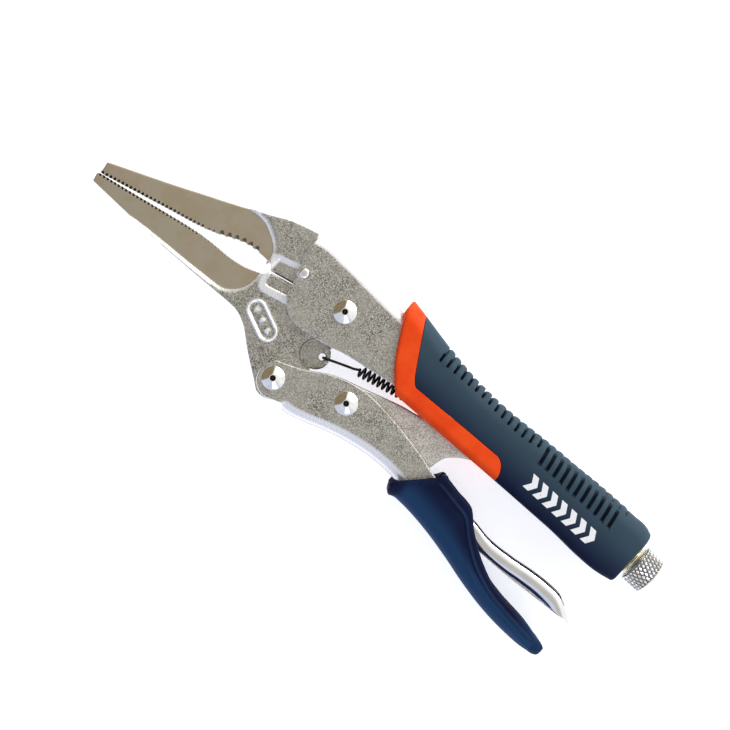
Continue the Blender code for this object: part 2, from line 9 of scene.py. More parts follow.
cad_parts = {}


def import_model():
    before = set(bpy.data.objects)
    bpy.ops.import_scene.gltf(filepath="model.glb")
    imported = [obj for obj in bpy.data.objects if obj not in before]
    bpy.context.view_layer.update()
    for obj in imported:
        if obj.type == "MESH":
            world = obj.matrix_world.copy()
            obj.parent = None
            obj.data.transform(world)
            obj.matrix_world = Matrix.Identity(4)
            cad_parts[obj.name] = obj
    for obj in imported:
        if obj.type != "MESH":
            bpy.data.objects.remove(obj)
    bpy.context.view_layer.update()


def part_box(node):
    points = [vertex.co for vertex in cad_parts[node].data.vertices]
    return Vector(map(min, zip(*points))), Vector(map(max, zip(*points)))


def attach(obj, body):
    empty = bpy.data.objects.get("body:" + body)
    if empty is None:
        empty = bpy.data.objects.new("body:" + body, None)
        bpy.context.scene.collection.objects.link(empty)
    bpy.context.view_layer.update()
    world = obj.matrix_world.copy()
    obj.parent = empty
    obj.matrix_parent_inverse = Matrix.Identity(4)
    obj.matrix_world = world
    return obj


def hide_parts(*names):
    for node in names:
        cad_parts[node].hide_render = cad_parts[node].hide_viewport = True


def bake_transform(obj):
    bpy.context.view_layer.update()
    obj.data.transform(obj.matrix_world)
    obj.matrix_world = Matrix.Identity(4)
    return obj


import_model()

# ---------------------------------------------------------------------------------------
# Upper handle shell. One piece of 2 mm steel sheet, blanked flat, folded over a former
# into a channel, tumbled with shot and plated with matt nickel. The folded edge is painted
# bright as a highlight, the cut edges are worn bright with a painted highlight, and a ring
# is coined around the rivet that holds the upper jaw.
# All sizes are millimetres from the main pivot, on the middle plane of the tool.

MM = 0.001
low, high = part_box("main_pivot_rivet")
main_pivot = (low + high) / 2

channel_half = 7.1
channel_sheet = 2.0
channel_bend = 4.0


def smooth_line(*knots):
    """A height as a function of x, smooth through the knots and level past the ends."""
    xs, ys = np.array(knots, float).T
    slopes = np.gradient(ys, xs)
    slopes[0], slopes[-1] = (ys[1] - ys[0]) / (xs[1] - xs[0]), (ys[-1] - ys[-2]) / (xs[-1] - xs[-2])

    def height(x):
        x = np.clip(np.asarray(x, float), xs[0], xs[-1])
        i = np.clip(np.searchsorted(xs, x) - 1, 0, len(xs) - 2)
        span = xs[i + 1] - xs[i]
        t = (x - xs[i]) / span
        return (ys[i] * (2 * t ** 3 - 3 * t ** 2 + 1) + ys[i + 1] * (3 * t ** 2 - 2 * t ** 3)
                + slopes[i] * span * (t ** 3 - 2 * t ** 2 + t) + slopes[i + 1] * span * (t ** 3 - t ** 2))
    return height


def arc(centre, radius, start, end, steps=12):
    angles = np.radians(np.linspace(start, end, steps + 1))
    return np.column_stack((centre[0] + radius * np.cos(angles), centre[1] + radius * np.sin(angles)))


def curve(points, steps=6):
    """A soft curve through given points."""
    p = np.array(points, float)
    p = np.vstack((2 * p[0] - p[1], p, 2 * p[-1] - p[-2]))
    t = np.linspace(0, 1, steps, endpoint=False)[:, None]
    parts = []
    for a, b, c, d in zip(p, p[1:], p[2:], p[3:]):
        parts.append(0.5 * (2 * b + (c - a) * t + (2 * a - 5 * b + 4 * c - d) * t ** 2 + (3 * b - a - 3 * c + d) * t ** 3))
    return np.vstack(parts + [p[-2:-1]])


def steps_along(line, spacing, closed=True):
    """The same line with extra points, so that none are further apart than spacing."""
    line = np.asarray(line, float)
    ends = np.roll(line, -1, 0) if closed else line[1:]
    parts = []
    for a, b in zip(line, ends):
        count = max(1, math.ceil(np.linalg.norm(b - a) / spacing))
        parts.append(a + (b - a) * (np.arange(count) / count)[:, None])
    return np.vstack(parts if closed else parts + [line[-1:]])


def distance(points, line, closed=True):
    """How far each point is from a line."""
    a = np.asarray(line, float)
    b = np.roll(a, -1, 0) if closed else a[1:]
    a = a if closed else a[:-1]
    run = b - a
    length = np.maximum((run ** 2).sum(1), 1e-12)
    found = np.full(len(points), 1e9)
    for start in range(0, len(points), 2000):
        some = points[start:start + 2000, None, :]
        t = np.clip(((some - a) * run).sum(2) / length, 0, 1)
        found[start:start + 2000] = np.sqrt((((some - a) - t[..., None] * run) ** 2).sum(2).min(1))
    return found


def inside(points, loop):
    x, y = points[:, :1], points[:, 1:]
    a, b = np.asarray(loop, float), np.roll(loop, -1, 0)
    rise = np.where(b[:, 1] == a[:, 1], 1e-12, b[:, 1] - a[:, 1])
    crossed = ((a[:, 1] > y) != (b[:, 1] > y)) & (x < (b[:, 0] - a[:, 0]) * (y - a[:, 1]) / rise + a[:, 0])
    return crossed.sum(1) % 2 == 1


def depth_in(points, loop):
    """How far inside a closed line each point is; below 0 outside it."""
    return distance(points, loop) * np.where(inside(points, loop), 1, -1)


def ease(value, low, high):
    """0 below low, 1 above high, and a soft step between them."""
    t = np.clip((value - low) / (high - low), 0, 1)
    return t * t * (3 - 2 * t)


def flat_mesh(loops, spacing, rings, creases=()):
    """Triangles that fill an outline less its holes, with extra points beside its edges and
    along the creases, each of them a line and the distances to its sides that get points.
    Gives the points, the triangles and each point's distance to the nearest edge."""
    loops = [steps_along(loop, 0.5) for loop in loops]

    def beside(line, offset, closed):
        before, after = np.roll(line, 1, 0), np.roll(line, -1, 0)
        if not closed:
            before[0], after[-1] = line[0], line[-1]
        along = after - before
        across = np.column_stack((-along[:, 1], along[:, 0]))
        return line + across / np.maximum(np.linalg.norm(across, axis=1), 1e-9)[:, None] * offset

    def clear(candidates, gap):
        keep = inside(candidates, loops[0])
        for hole in loops[1:]:
            keep &= ~inside(candidates, hole)
        candidates = candidates[keep]
        nearest = np.min([distance(candidates, loop) for loop in loops], axis=0)
        return candidates[nearest > gap]

    points = [np.vstack(loops)]
    for ring in rings:
        points += [clear(beside(loop, side * ring, True), ring * 0.93) for loop in loops for side in (1, -1)]
    (x0, y0), (x1, y1) = loops[0].min(0), loops[0].max(0)
    grid_x, grid_y = np.meshgrid(np.arange(x0, x1, spacing), np.arange(y0, y1, spacing * 0.866))
    grid_x[1::2] += spacing / 2
    grid = clear(np.column_stack((grid_x.ravel(), grid_y.ravel())), max(rings) + spacing * 0.45)
    for line, offsets in creases:
        line = steps_along(line, 0.5, closed=False)
        for offset in offsets:
            points.append(clear(beside(line, offset, False), max(rings)))
        grid = grid[distance(grid, line, closed=False) > max(abs(o) for o in offsets) + spacing * 0.4]
    points.append(grid)
    edges, first = [], 0
    for loop in loops:
        edges += [(first + i, first + (i + 1) % len(loop)) for i in range(len(loop))]
        first += len(loop)
    found, _, triangles, *_ = delaunay_2d_cdt([Vector(p) for p in np.vstack(points)], edges, [], 0, 1e-5)
    found, triangles = np.array([tuple(p) for p in found]), np.array(triangles)
    middle = found[triangles].mean(1)
    keep = inside(middle, loops[0])
    for hole in loops[1:]:
        keep &= ~inside(middle, hole)
    (ax, ay), (bx, by), (cx, cy) = (found[triangles[:, k]].T for k in range(3))
    keep &= np.abs((bx - ax) * (cy - ay) - (by - ay) * (cx - ax)) > 1e-7
    used, renumbered = np.unique(triangles[keep], return_inverse=True)
    found = found[used]
    return found, renumbered.reshape(-1, 3), np.min([distance(found, loop) for loop in loops], axis=0)


def rounding(edge, radius):
    """How far a rounded edge falls away, from the distance to it."""
    near = np.clip(radius - edge, 0, radius)
    return radius - np.sqrt(np.maximum(radius ** 2 - near ** 2, 0))


def two_faced(triangles, count):
    """Faces of a solid whose second face is a copy of the first, and the edges of its rim."""
    edges = np.vstack([triangles[:, [i, (i + 1) % 3]] for i in range(3)])
    keys = np.sort(edges, 1)
    _, index, uses = np.unique(keys, axis=0, return_index=True, return_counts=True)
    rim = edges[index[uses == 1]]
    faces = [tuple(t) for t in triangles] + [tuple(t[::-1] + count) for t in triangles]
    return faces, rim


def make_piece(name, points, faces, finish, body, slot, stands_for=(), marks=None, sharp=40):
    """A piece from points in millimetres, fixed to the body that carries it."""
    mesh = bpy.data.meshes.new(name)
    placed = np.asarray(points, float) * MM + np.array(main_pivot)
    mesh.from_pydata(placed.tolist(), [], [[int(i) for i in face] for face in faces])
    for mark, values in (marks or {}).items():
        mesh.attributes.new(mark, "FLOAT", "POINT").data.foreach_set("value", np.asarray(values, np.float32))
    work = bmesh.new()
    work.from_mesh(mesh)
    bmesh.ops.recalc_face_normals(work, faces=work.faces)
    work.to_mesh(mesh)
    work.free()
    mesh.shade_smooth()
    mesh.set_sharp_from_angle(angle=math.radians(sharp))
    mesh.materials.append(finish)
    piece = bpy.data.objects.new(name, mesh)
    bpy.context.scene.collection.objects.link(piece)
    if body:
        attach(piece, body)
    if stands_for:
        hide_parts(*stands_for)
    return piece


def skin(name, loops, spacing, outer, inner, edge_radius, rings, finish, body, slot, stands_for=(),
         marks=None, creases=()):
    """A sheet or a moulded sleeve: an outer and an inner face with rounded rims between."""
    flat, triangles, edge = flat_mesh(loops, spacing, rings, creases)
    front, back = outer(flat), inner(flat)
    through = back - front
    thickness = np.maximum(np.linalg.norm(through, axis=1), 1e-6)
    radius = edge_radius(flat) if callable(edge_radius) else edge_radius
    fall = (rounding(edge, radius) / thickness)[:, None]
    points = np.vstack((front + through * fall, back - through * fall * 0.6))
    faces, rim = two_faced(triangles, len(flat))
    faces += [(a, a + len(flat), b + len(flat), b) for a, b in rim]
    values = {key: np.tile(value(flat, edge), 2) for key, value in (marks or {}).items()}
    return make_piece(name, points, faces, finish, body, slot, stands_for, values)


def fold(spine, half, bend, side):
    """Wrap a flat pattern (along, around) over a folded sheet whose web follows spine."""
    flat, turn = half - bend, bend * math.pi / 2

    def wrap(pattern, depth=0.0):
        """The pattern in its folded place, depth below the outer face."""
        x, around = pattern[:, 0], pattern[:, 1]
        out = np.abs(around)
        angle = np.clip((out - flat) / bend, 0, math.pi / 2)
        radius = bend - depth
        z = np.minimum(out, flat) + radius * np.sin(angle)
        y = spine(x) - side * (bend - radius * np.cos(angle) + np.maximum(out - flat - turn, 0))
        return np.column_stack((x, y, np.sign(around) * z))

    def unfold(side_view):
        """Flat-pattern places of side-view points on the side plate."""
        side_view = np.asarray(side_view, float)
        around = flat + turn - bend + side * (spine(side_view[:, 0]) - side_view[:, 1])
        return np.column_stack((side_view[:, 0], around))
    return wrap, unfold


def both_sides(half_pattern):
    """A flat pattern from its half on one side of the middle line."""
    mirrored = half_pattern[::-1] * (1, -1)
    joined = np.vstack((half_pattern, mirrored))
    keep = np.linalg.norm(joined - np.roll(joined, 1, 0), axis=1) > 1e-4
    return joined[keep]


class Flow:
    """A value on its way through a shader. Arithmetic on it adds the Math nodes."""

    def __init__(self, tree, socket=None):
        self.tree, self.socket = tree, socket

    def node(self, kind, settings=None, output=0, **inputs):
        """Any node: its settings first, then its sockets' values or links, by name or number."""
        made = self.tree.nodes.new("ShaderNode" + kind)
        for key, value in (settings or {}).items():
            setattr(made, key, value)
        for key, value in inputs.items():
            target = made.inputs[int(key[3:]) if key.startswith("in_") else key.replace("_", " ")]
            if isinstance(value, Flow):
                self.tree.links.new(value.socket, target)
            else:
                target.default_value = value
        return Flow(self.tree, made.outputs[output])

    def math(self, operation, *values):
        sockets = {f"in_{i}": v for i, v in enumerate(values)}
        return self.node("Math", {"operation": operation}, **sockets)

    def __add__(self, other): return self.math("ADD", self, other)
    def __radd__(self, other): return self.math("ADD", other, self)
    def __sub__(self, other): return self.math("SUBTRACT", self, other)
    def __rsub__(self, other): return self.math("SUBTRACT", other, self)
    def __mul__(self, other): return self.math("MULTIPLY", self, other)
    def __rmul__(self, other): return self.math("MULTIPLY", other, self)
    def __truediv__(self, other): return self.math("DIVIDE", self, other)
    def __rtruediv__(self, other): return self.math("DIVIDE", other, self)
    def __mod__(self, other): return self.math("FLOORED_MODULO", self, other)
    def __abs__(self): return self.math("ABSOLUTE", self)

    def step(self, low, high):
        """0 below low and 1 above high, soft between; reversed if low is above high."""
        return self.node("MapRange", {"interpolation_type": "SMOOTHSTEP"}, Value=self, From_Min=low,
                         From_Max=high)

    def mix(self, first, second):
        """The first colour where this is 0 and the second where it is 1."""
        return self.node("Mix", {"data_type": "RGBA"}, output=2, in_0=self, in_6=first, in_7=second)


def rgb(red, green, blue):
    return (red, green, blue, 1.0)


def new_finish(name):
    """A material, its Principled shader and a Flow of places in mm from the main pivot."""
    material = bpy.data.materials.new(name)
    material.use_nodes = True
    tree = material.node_tree
    shader = tree.nodes["Principled BSDF"]
    place = Flow(tree, tree.nodes.new("ShaderNodeTexCoord").outputs["Object"])
    place = place.node("VectorMath", {"operation": "SCALE"}, in_0=place, Scale=1 / MM)
    place = place.node("VectorMath", {"operation": "SUBTRACT"}, in_0=place, in_1=tuple(main_pivot / MM))
    return material, shader, place


def feed(shader, **inputs):
    """Link varying values to the shader's sockets and set the constant ones."""
    for key, value in inputs.items():
        target = shader.inputs[key.replace("_", " ")]
        if isinstance(value, Flow):
            value.tree.links.new(value.socket, target)
        else:
            target.default_value = value


def bump(height, distance_mm, strength=1.0):
    return height.node("Bump", Height=height, Distance=distance_mm * MM, Strength=strength)


def noise(place, size_mm, detail=2.0, roughness=0.5):
    return place.node("TexNoise", Vector=place, Scale=1 / size_mm, Detail=detail, Roughness=roughness)


def mark(place, name):
    """A value stored on the mesh."""
    return place.node("Attribute", {"attribute_name": name}, output=2)


def pebbled_nickel(name, dark, light, ground=None):
    """Shot-blasted plate: small dents, dark in the hollows, with small painted highlight specks.
    Smooth and bright where the mesh is marked as worn and highlit: partly wear, partly a painted
    highlight on bends, shoulders and proud rims. Where it is marked as ground, the blasted skin
    gives way to a fine flat grind, and the marked tooth roots and seam get a painted near-black shade."""
    material, shader, place = new_finish(name)
    dents = place.node("TexVoronoi", {"feature": "SMOOTH_F1"}, Vector=place, Scale=2.6, Smoothness=0.5)
    grains = noise(place, 0.26, 3.0, 0.6)
    height = dents * 0.8 + grains * 0.5
    speckle = (noise(place, 0.46, 4.0, 0.75) * 0.6 + grains * 0.4).step(0.40, 0.60)
    patches = noise(place, 9.0, 2.0).step(0.35, 0.65)
    colour = speckle.mix(rgb(*dark), rgb(*light))
    colour = (patches * 0.45).mix(colour, rgb(*(0.25 * d + 0.75 * l for d, l in zip(dark, light))))
    # Painted highlight: small bright specks mixed into the colour.
    glints = place.node("TexVoronoi", {"feature": "F1"}, Vector=place, Scale=0.9).step(0.20, 0.08)
    colour = (glints * 0.7).mix(colour, rgb(0.95, 0.94, 0.90))
    rough = 0.36 + speckle * 0.12 - glints * 0.1
    # Painted highlight: the worn-and-highlit mark lightens the colour on bends, shoulders and proud rims, as well
    # as on worn cut edges.
    rubbed_and_highlit = mark(place, "rubbed_and_highlit")
    worn_and_highlit = (rubbed_and_highlit - grains * 0.25).step(0.05, 0.75)
    colour = (worn_and_highlit * 0.95).mix(colour, rgb(0.88, 0.88, 0.89))
    rough = rough - worn_and_highlit * 0.16
    strength = 1.0 - worn_and_highlit * 0.85
    if ground:
        is_ground = mark(place, "ground")
        grind = place.node("VectorMath", {"operation": "MULTIPLY"}, in_0=place, in_1=(7.0, 0.35, 1.0))
        lines = grind.node("TexNoise", Vector=grind, Scale=1.0, Detail=3.0, Roughness=0.6)
        heat = noise(place, 7.0, 3.0, 0.6).step(0.40, 0.68)
        ground_colour = (lines.step(0.3, 0.7) * 0.35).mix(rgb(*ground), rgb(*(c * 0.84 for c in ground)))
        ground_colour = (heat * 0.45).mix(ground_colour,
                                          rgb(ground[0] * 0.92, ground[1] * 0.78, ground[2] * 0.60))
        height = height * (1.0 - is_ground) + lines * is_ground * 0.12
        colour = is_ground.mix(colour, ground_colour)
        rough = rough * (1.0 - is_ground) + (0.40 + lines * 0.06) * is_ground
        # Painted shade: the marked tooth roots and the seam are darkened to near black.
        root_shade = mark(place, "tooth_root_shade")
        colour = root_shade.mix(colour, rgb(0.020, 0.021, 0.028))
        rough = rough + root_shade * 0.2
    feed(shader, Base_Color=colour, Roughness=rough, Metallic=1.0 - worn_and_highlit * 0.5,
         Normal=bump(height * strength, 0.10, 0.9))
    return material


handle_nickel = pebbled_nickel("handle_nickel", (0.12, 0.112, 0.090), (0.72, 0.70, 0.63))

upper_spine = smooth_line((-23.3, 13.3), (-20, 14.1), (-10, 14.3), (0, 13.9), (14, 13.2), (30, 12.2),
                          (45, 10.6), (60, 10.2), (80, 11.3), (100, 12.3), (124.5, 12.6))
upper_wrap, upper_unfold = fold(upper_spine, channel_half, channel_bend, 1)
jaw_rivet = (-18.8, 0.2)
spring_pin = (50.0, -1.9)


def circle_hole(unfold, centre, radius):
    """A round hole through both side plates, as two loops of the flat pattern."""
    loop = unfold(arc(centre, radius, 0, 345, 23))
    return [loop, loop * (1, -1)]


def coined_ring(pattern):
    """The raised ring round the small rivet, measured outwards."""
    side = upper_wrap(pattern)
    off = np.hypot(side[:, 0] - jaw_rivet[0], side[:, 1] - jaw_rivet[1])
    return 0.30 * np.exp(-((off - 2.25) / 0.28) ** 2) - 0.12 * np.exp(-(off / 1.6) ** 4)


def shell_wear_and_highlight(pattern, edge):
    """Painted highlight along the bend, and cut edges worn bright with a painted highlight."""
    into_bend = np.abs(pattern[:, 1]) - (channel_half - channel_bend + channel_bend * math.pi / 2)
    bend = ease(-into_bend, -0.5, 1.4) * (1 - 0.8 * ease(-into_bend, 4.0, 5.4))
    return np.maximum(bend, 0.8 * (1 - ease(edge, 0.10, 0.45)))


upper_side = np.vstack((
    [(-23.3, 9.2), (-23.1, 6.0), (-22.8, 4.0), (-22.0, 2.9), (-21.1, 2.1)],
    arc(jaw_rivet, 2.75, 148, 246, 10), [(-19.6, -3.6)], arc((-8.8, -3.7), 10.6, 184, 288, 40),
    curve([(-3.0, -13.4), (0, -13.0), (4, -12.1), (10, -10.3), (20, -8.5), (29, -7.0), (40, -6.9)])[2:],
    [(75, -6.3), (100, -5.4), (124.5, -4.8)]))
upper_pattern = np.vstack(([(-23.3, 0.0), (-23.3, 9.0)], upper_unfold(upper_side),
                           [(124.5, 9.0), (124.5, 0.0)]))
skin("upper_handle_shell",
     [both_sides(upper_pattern), *circle_hole(upper_unfold, (0, 0), 3.2),
      *circle_hole(upper_unfold, jaw_rivet, 1.5), *circle_hole(upper_unfold, spring_pin, 1.7)],
     1.0, lambda p: upper_wrap(p, -coined_ring(p)), lambda p: upper_wrap(p, channel_sheet),
     0.45, (0.12, 0.3, 0.55, 0.95), handle_nickel, "upper_handle", "pebbled_nickel", ["upper_channel"],
     {"rubbed_and_highlit": shell_wear_and_highlight})

# ---------------------------------------------------------------------------------------
# Upper jaw. Drop-forged steel, held in the front of the upper shell by the main rivet and a
# small locating rivet. The long nose is ground flat on both sides and tapers to the tip; the
# gripping edge is broached with fine round teeth, and coarse ones for pipe near the throat.

jaw_half = 4.8
nose_root = (-29.5, 4.1)
nose_tip = (-92.7, 3.0)
throat = (-30.4, -7.3)
upper_bite = smooth_line((-93.0, -21.40), (-80, -18.05), (-67, -14.65), (-55, -11.5), (-49.5, -9.5),
                         (-41, -5.8), (-36, -4.85), (-31, -4.7))
lower_bite = smooth_line((-93.0, -21.60), (-80, -18.95), (-67, -16.2), (-55, -13.9), (-49.5, -13.3),
                         (-40, -12.7), (-35, -11.7), (-31, -10.2))


def toothed(bite, start, end, pitch, depth, width, side):
    """A gripping edge from start to end with round-bottomed notches between flat lands."""
    count = round(abs(end - start) / pitch)
    pitch = (end - start) / count
    line = []
    for i in range(count):
        middle = start + (i + 0.5) * pitch
        slope = float(bite(middle + 0.3) - bite(middle - 0.3)) / 0.6
        along = np.array((1, slope)) / math.hypot(1, slope)
        up = np.array((-along[1], along[0])) * side
        root = np.array((middle, float(bite(middle))))
        for t in (0.0, 0.25, 0.5, 0.75, 1.0):
            across = (t - 0.5) * width * math.copysign(1, pitch)
            line.append(root + along * across + up * depth * math.sin(t * math.pi) ** 0.6)
    return np.array(line)


def nose_thickness(x):
    t = np.clip((x - nose_tip[0]) / (nose_root[0] - nose_tip[0]), 0, 1)
    return nose_tip[1] + (nose_root[1] - nose_tip[1]) * t


def plate(name, loops, spacing, half_at, edge_radius, rings, finish, body, slot, stands_for=(), marks=None,
          creases=(), parting=0.12, web=None):
    """A solid piece the same on both sides, with rounded rims and a forging flash line
    round the middle of its walls. A web fills notches again between the two sides."""
    flat, triangles, edge = flat_mesh(loops, spacing, rings, creases)
    radius = edge_radius(flat) if callable(edge_radius) else edge_radius
    half = half_at(flat) - rounding(edge, radius)
    count = len(flat)
    points = [np.column_stack((flat, half)), np.column_stack((flat, -half))]
    faces, rim = two_faced(triangles, count)
    outward = np.zeros_like(flat)
    for a, b in rim:
        run = flat[b] - flat[a]
        outward[[a, b]] += (run[1], -run[0])
    outward /= np.maximum(np.linalg.norm(outward, axis=1), 1e-9)[:, None]
    used = np.unique(rim)
    place = {int(v): i for i, v in enumerate(used)}
    rows, heights = [used], (0.8, 0.62, 0.3, 0.09, 0.0, -0.09, -0.3, -0.62, -0.8)
    fill = web(flat[used]) if web else np.zeros(len(used))
    for k, level in enumerate(heights):
        raised = parting * math.exp(-(level / 0.12) ** 2) * (fill < 0.01) + fill * ease(-abs(level), -0.8, -0.6)
        points.append(np.column_stack((flat[used] + outward[used] * raised[:, None], half[used] * level)))
        rows.append(2 * count + k * len(used) + np.arange(len(used)))
    rows.append(used + count)
    for upper, lower in zip(rows, rows[1:]):
        faces += [(upper[place[a]], lower[place[a]], lower[place[b]], upper[place[b]]) for a, b in rim.tolist()]
    values = {}
    for key, value in (marks or {}).items():
        value = value(flat, edge)
        values[key] = np.concatenate((value, value, np.tile(value[used], len(heights))))
    return make_piece(name, np.vstack(points), faces, finish, body, slot, stands_for, values)


jaw_finish = pebbled_nickel("jaw_nickel", (0.11, 0.102, 0.080), (0.70, 0.68, 0.61), ground=(0.50, 0.445, 0.34))

upper_ground_edge = curve([(-51, 2.6), (-47, 3.5), (-43, 4.0), (-40, 3.7), (-37, 2.5), (-34, 0.8), (-32, -1),
                           (-31, -3), (-30.7, -4.7), (-30.6, -6.5)], 5)
upper_ground = np.vstack(([(-110, -40), (-110, 2.6)], upper_ground_edge, [(-30.6, -40)]))
upper_step = np.array([(-28.8, -1.5), (-25.0, -0.4), (-21.0, 1.1), (-14.0, 3.0)])
upper_low = np.vstack((upper_step, [(-14, -12), (-28.8, -12)]))


def band(value, low, high, blur=0.15):
    """One between low and high, fading to nought outside."""
    return ease(value, low - blur, low + blur) * ease(-value, -high - blur, -high + blur)


def upper_jaw_wear_and_highlight(p, edge):
    """Painted highlight on the shoulder round the ground face and on the step by the throat; the
    cut edges are worn bright with a painted highlight.
    """
    into = depth_in(p, upper_ground)
    shoulder = np.maximum(band(-into, 0.15, 0.5), band(-into, 1.0, 1.45)) + 0.55 * band(-into, 0.4, 1.1)
    step = band(depth_in(p, upper_low), -0.9, 1.1)
    return np.clip(np.maximum(shoulder, step * 0.9) + 0.8 * (1 - ease(edge, 0.05, 0.4)), 0, 1)


def upper_jaw_half(p):
    into = depth_in(p, upper_ground)
    half = nose_thickness(p[:, 0])
    half = half + (jaw_half - half) * ease(-into, 0.0, 1.1)
    return half - 0.85 * ease(depth_in(p, upper_low), -0.6, 1.0)


def from_bite(p):
    """How far a place is from the gripping edges; large behind the throat."""
    off = np.minimum(np.abs(p[:, 1] - upper_bite(p[:, 0])), np.abs(p[:, 1] - lower_bite(p[:, 0])))
    return off + 20 * ease(p[:, 0], -31, -29)


def bite_radius(p):
    """Broached edges stay crisp; the forged ones are rounded."""
    return 0.12 + 0.38 * ease(from_bite(p), 1.2, 2.2)


def tooth_web(p):
    """The notches are not cut right through: a web stands in them between the two faces."""
    off = from_bite(p)
    return np.where((off > 0.08) & (off < 1.8) & (p[:, 0] > -92), off * 0.8, 0)


def painted_root_shade(p, edge):
    """Painted shade in the tooth roots, darkest towards the tip where they are finest, and a
    painted shadow line along the seam where the jaws meet.
    """
    off = from_bite(p)
    fine = ease(-p[:, 0], 46, 78)
    roots = ease(off, 0.12, 0.3) * ease(-off, -1.7, -1.5) * ease(-edge, -0.14, -0.02) * (0.55 + 0.45 * fine)
    seam = ease(-edge, -0.4, -0.15) * band(p[:, 0], -26.5, -12.0) * band(p[:, 1], -6.6, -2.4)
    return np.maximum(roots, seam)


upper_jaw_outline = np.vstack((
    curve([(-24.0, 13.6), (-28.0, 12.5), (-32.0, 11.2), (-35, 10), (-40.0, 7.3), (-45, 5.0), (-50.0, 2.35),
           (-60.0, -2.25), (-70.0, -6.9), (-80.0, -11.3), (-91.0, -16.1)], 4),
    [(-92.9, -17.0), (-93.0, -17.3), (-92.4, -20.2), (-92.5, -20.9)],
    toothed(upper_bite, -92.3, -54.0, 1.45, 0.90, 1.05, 1),
    toothed(upper_bite, -53.2, -50.0, 1.45, 0.60, 0.95, 1),
    toothed(upper_bite, -49.5, -35.0, 2.45, 1.45, 2.1, 1), [(-34.0, -4.72), (-32.5, -4.7)],
    arc(throat, 2.5, 85, 15, 8), [(-19.8, -4.7), (-12.0, -2.8)], arc((0, 0), 9.8, 197, 112, 16),
    [(-3.8, 10.4), (-22.6, 10.4), (-23.6, 12.0)]))
plate("upper_jaw_forging", [upper_jaw_outline, arc(jaw_rivet, 1.5, 0, 345, 23)], 0.75, upper_jaw_half,
      bite_radius,
      (0.05, 0.14, 0.3, 0.5), jaw_finish, "upper_handle", "forged_jaw", ["upper_jaw"],
      {"ground": lambda p, edge: ease(depth_in(p, upper_ground), -0.1, 0.1), "rubbed_and_highlit": upper_jaw_wear_and_highlight,
       "tooth_root_shade": painted_root_shade},
      [(upper_ground_edge, (0.3, 0, -0.3, -0.6, -0.9, -1.2, -1.6)),
       (upper_step, (-1.1, -0.8, -0.3, 0.2, 0.7, 1.2))],
      web=tooth_web)

# ---------------------------------------------------------------------------------------
# Lower jaw. The other forging: it swings on the main rivet, carries the ring mark in its
# cheek, a thin lug for the spring and the rivet of the lower handle. Same blasted and plated
# skin with a ground nose.

spring_lug = (2.4, -17.1)
spring_hole = (4.4, -16.3)
lower_pivot = (-2.7, -32.5)
ring_mark, ring_straight, ring_radius = (-18.7, -20.9), 4.1, 3.0

lower_ground_edge = curve([(-101, -25.9), (-91.3, -25.7), (-76, -24.95), (-68, -24.3), (-60, -23.8),
                           (-50, -23.2),
                           (-45, -22.8), (-40, -22.4), (-37, -22.1), (-35, -21.3), (-33, -19.8), (-31.2, -17.5),
                           (-30.2, -15), (-29.9, -12.5), (-30.1, -10.5), (-30.2, -9)], 5)
lower_ground = np.vstack(([(-110, 0), (-110, -25.9)], lower_ground_edge, [(-30.2, 0)]))
recess_edge = curve([(-27.4, -6.0), (-26.9, -8.2), (-26.4, -10.4), (-25.3, -11.15), (-21, -10.05), (-16, -8.65),
                     (-12.5, -7.65)], 5)
recess = np.vstack((recess_edge, [(-8, -3), (-27.4, -3)]))


def ring_distance(p):
    """0 on the middle of the long ring mark, and the distance from it elsewhere."""
    tilt = math.radians(-22)
    x, y = p[:, 0] - ring_mark[0], p[:, 1] - ring_mark[1]
    along, across = x * math.cos(tilt) + y * math.sin(tilt), -x * math.sin(tilt) + y * math.cos(tilt)
    reach = np.hypot(np.maximum(np.abs(along) - ring_straight, 0), across)
    dots = np.min([np.hypot(along - d, across) for d in (-4.0, 0.0, 4.0)], axis=0)
    return reach - ring_radius, dots


def lower_jaw_half(p):
    into = depth_in(p, lower_ground)
    half = nose_thickness(p[:, 0])
    half = half + (jaw_half - half) * ease(-into, 0.0, 1.1)
    sunk = depth_in(p, recess)
    half -= 0.30 * ease(sunk, 0.0, 0.3)
    half += 0.42 * ease(sunk, -2.7, -2.1) * ease(-sunk, 0.0, 0.4) * ease(-into, 0.6, 1.2)
    ring, dots = ring_distance(p)
    half += 0.42 * np.exp(-(ring / 0.5) ** 4) + 0.42 * (1 - ease(dots, 0.75, 1.35))
    half -= 0.22 * ease(-ring, 0.4, 0.9) * ease(dots, 0.9, 1.3)
    off = np.hypot(p[:, 0] - spring_lug[0], p[:, 1] - spring_lug[1])
    lug = ease(off, 4.8, 5.6) * (1 + 0.06 * np.exp(-((off - 6.0) / 0.3) ** 2))
    return 1.6 + (half - 1.6) * lug


def lower_jaw_wear_and_highlight(p, edge):
    """Painted highlight where the forging stands proud: the shoulder, the ridge beside the
    recess, the oval mark with its dots and the rim of the spring lug; the cut edges are worn
    bright with a painted highlight."""
    shoulder = -depth_in(p, lower_ground)
    ring, dots = ring_distance(p)
    sunk = depth_in(p, recess)
    from_lug = np.hypot(*(p - spring_lug).T)
    lug = np.maximum(band(from_lug, 4.65, 5.05), band(from_lug, 5.8, 6.2))
    ridge = band(sunk, -2.5, 0.05)
    proud = (np.maximum(band(shoulder, 0.15, 0.5), band(shoulder, 0.9, 1.35)) + 0.6 * band(shoulder, 0.4, 1.0),
             ridge * ease(shoulder, 0.3, 0.9), np.exp(-(ring / 0.6) ** 4), 1 - ease(dots, 0.8, 1.1),
             lug * ease(-p[:, 0], -0.9, 0.3), 0.8 * (1 - ease(edge, 0.05, 0.35)))
    return np.clip(np.max(proud, axis=0), 0, 1)


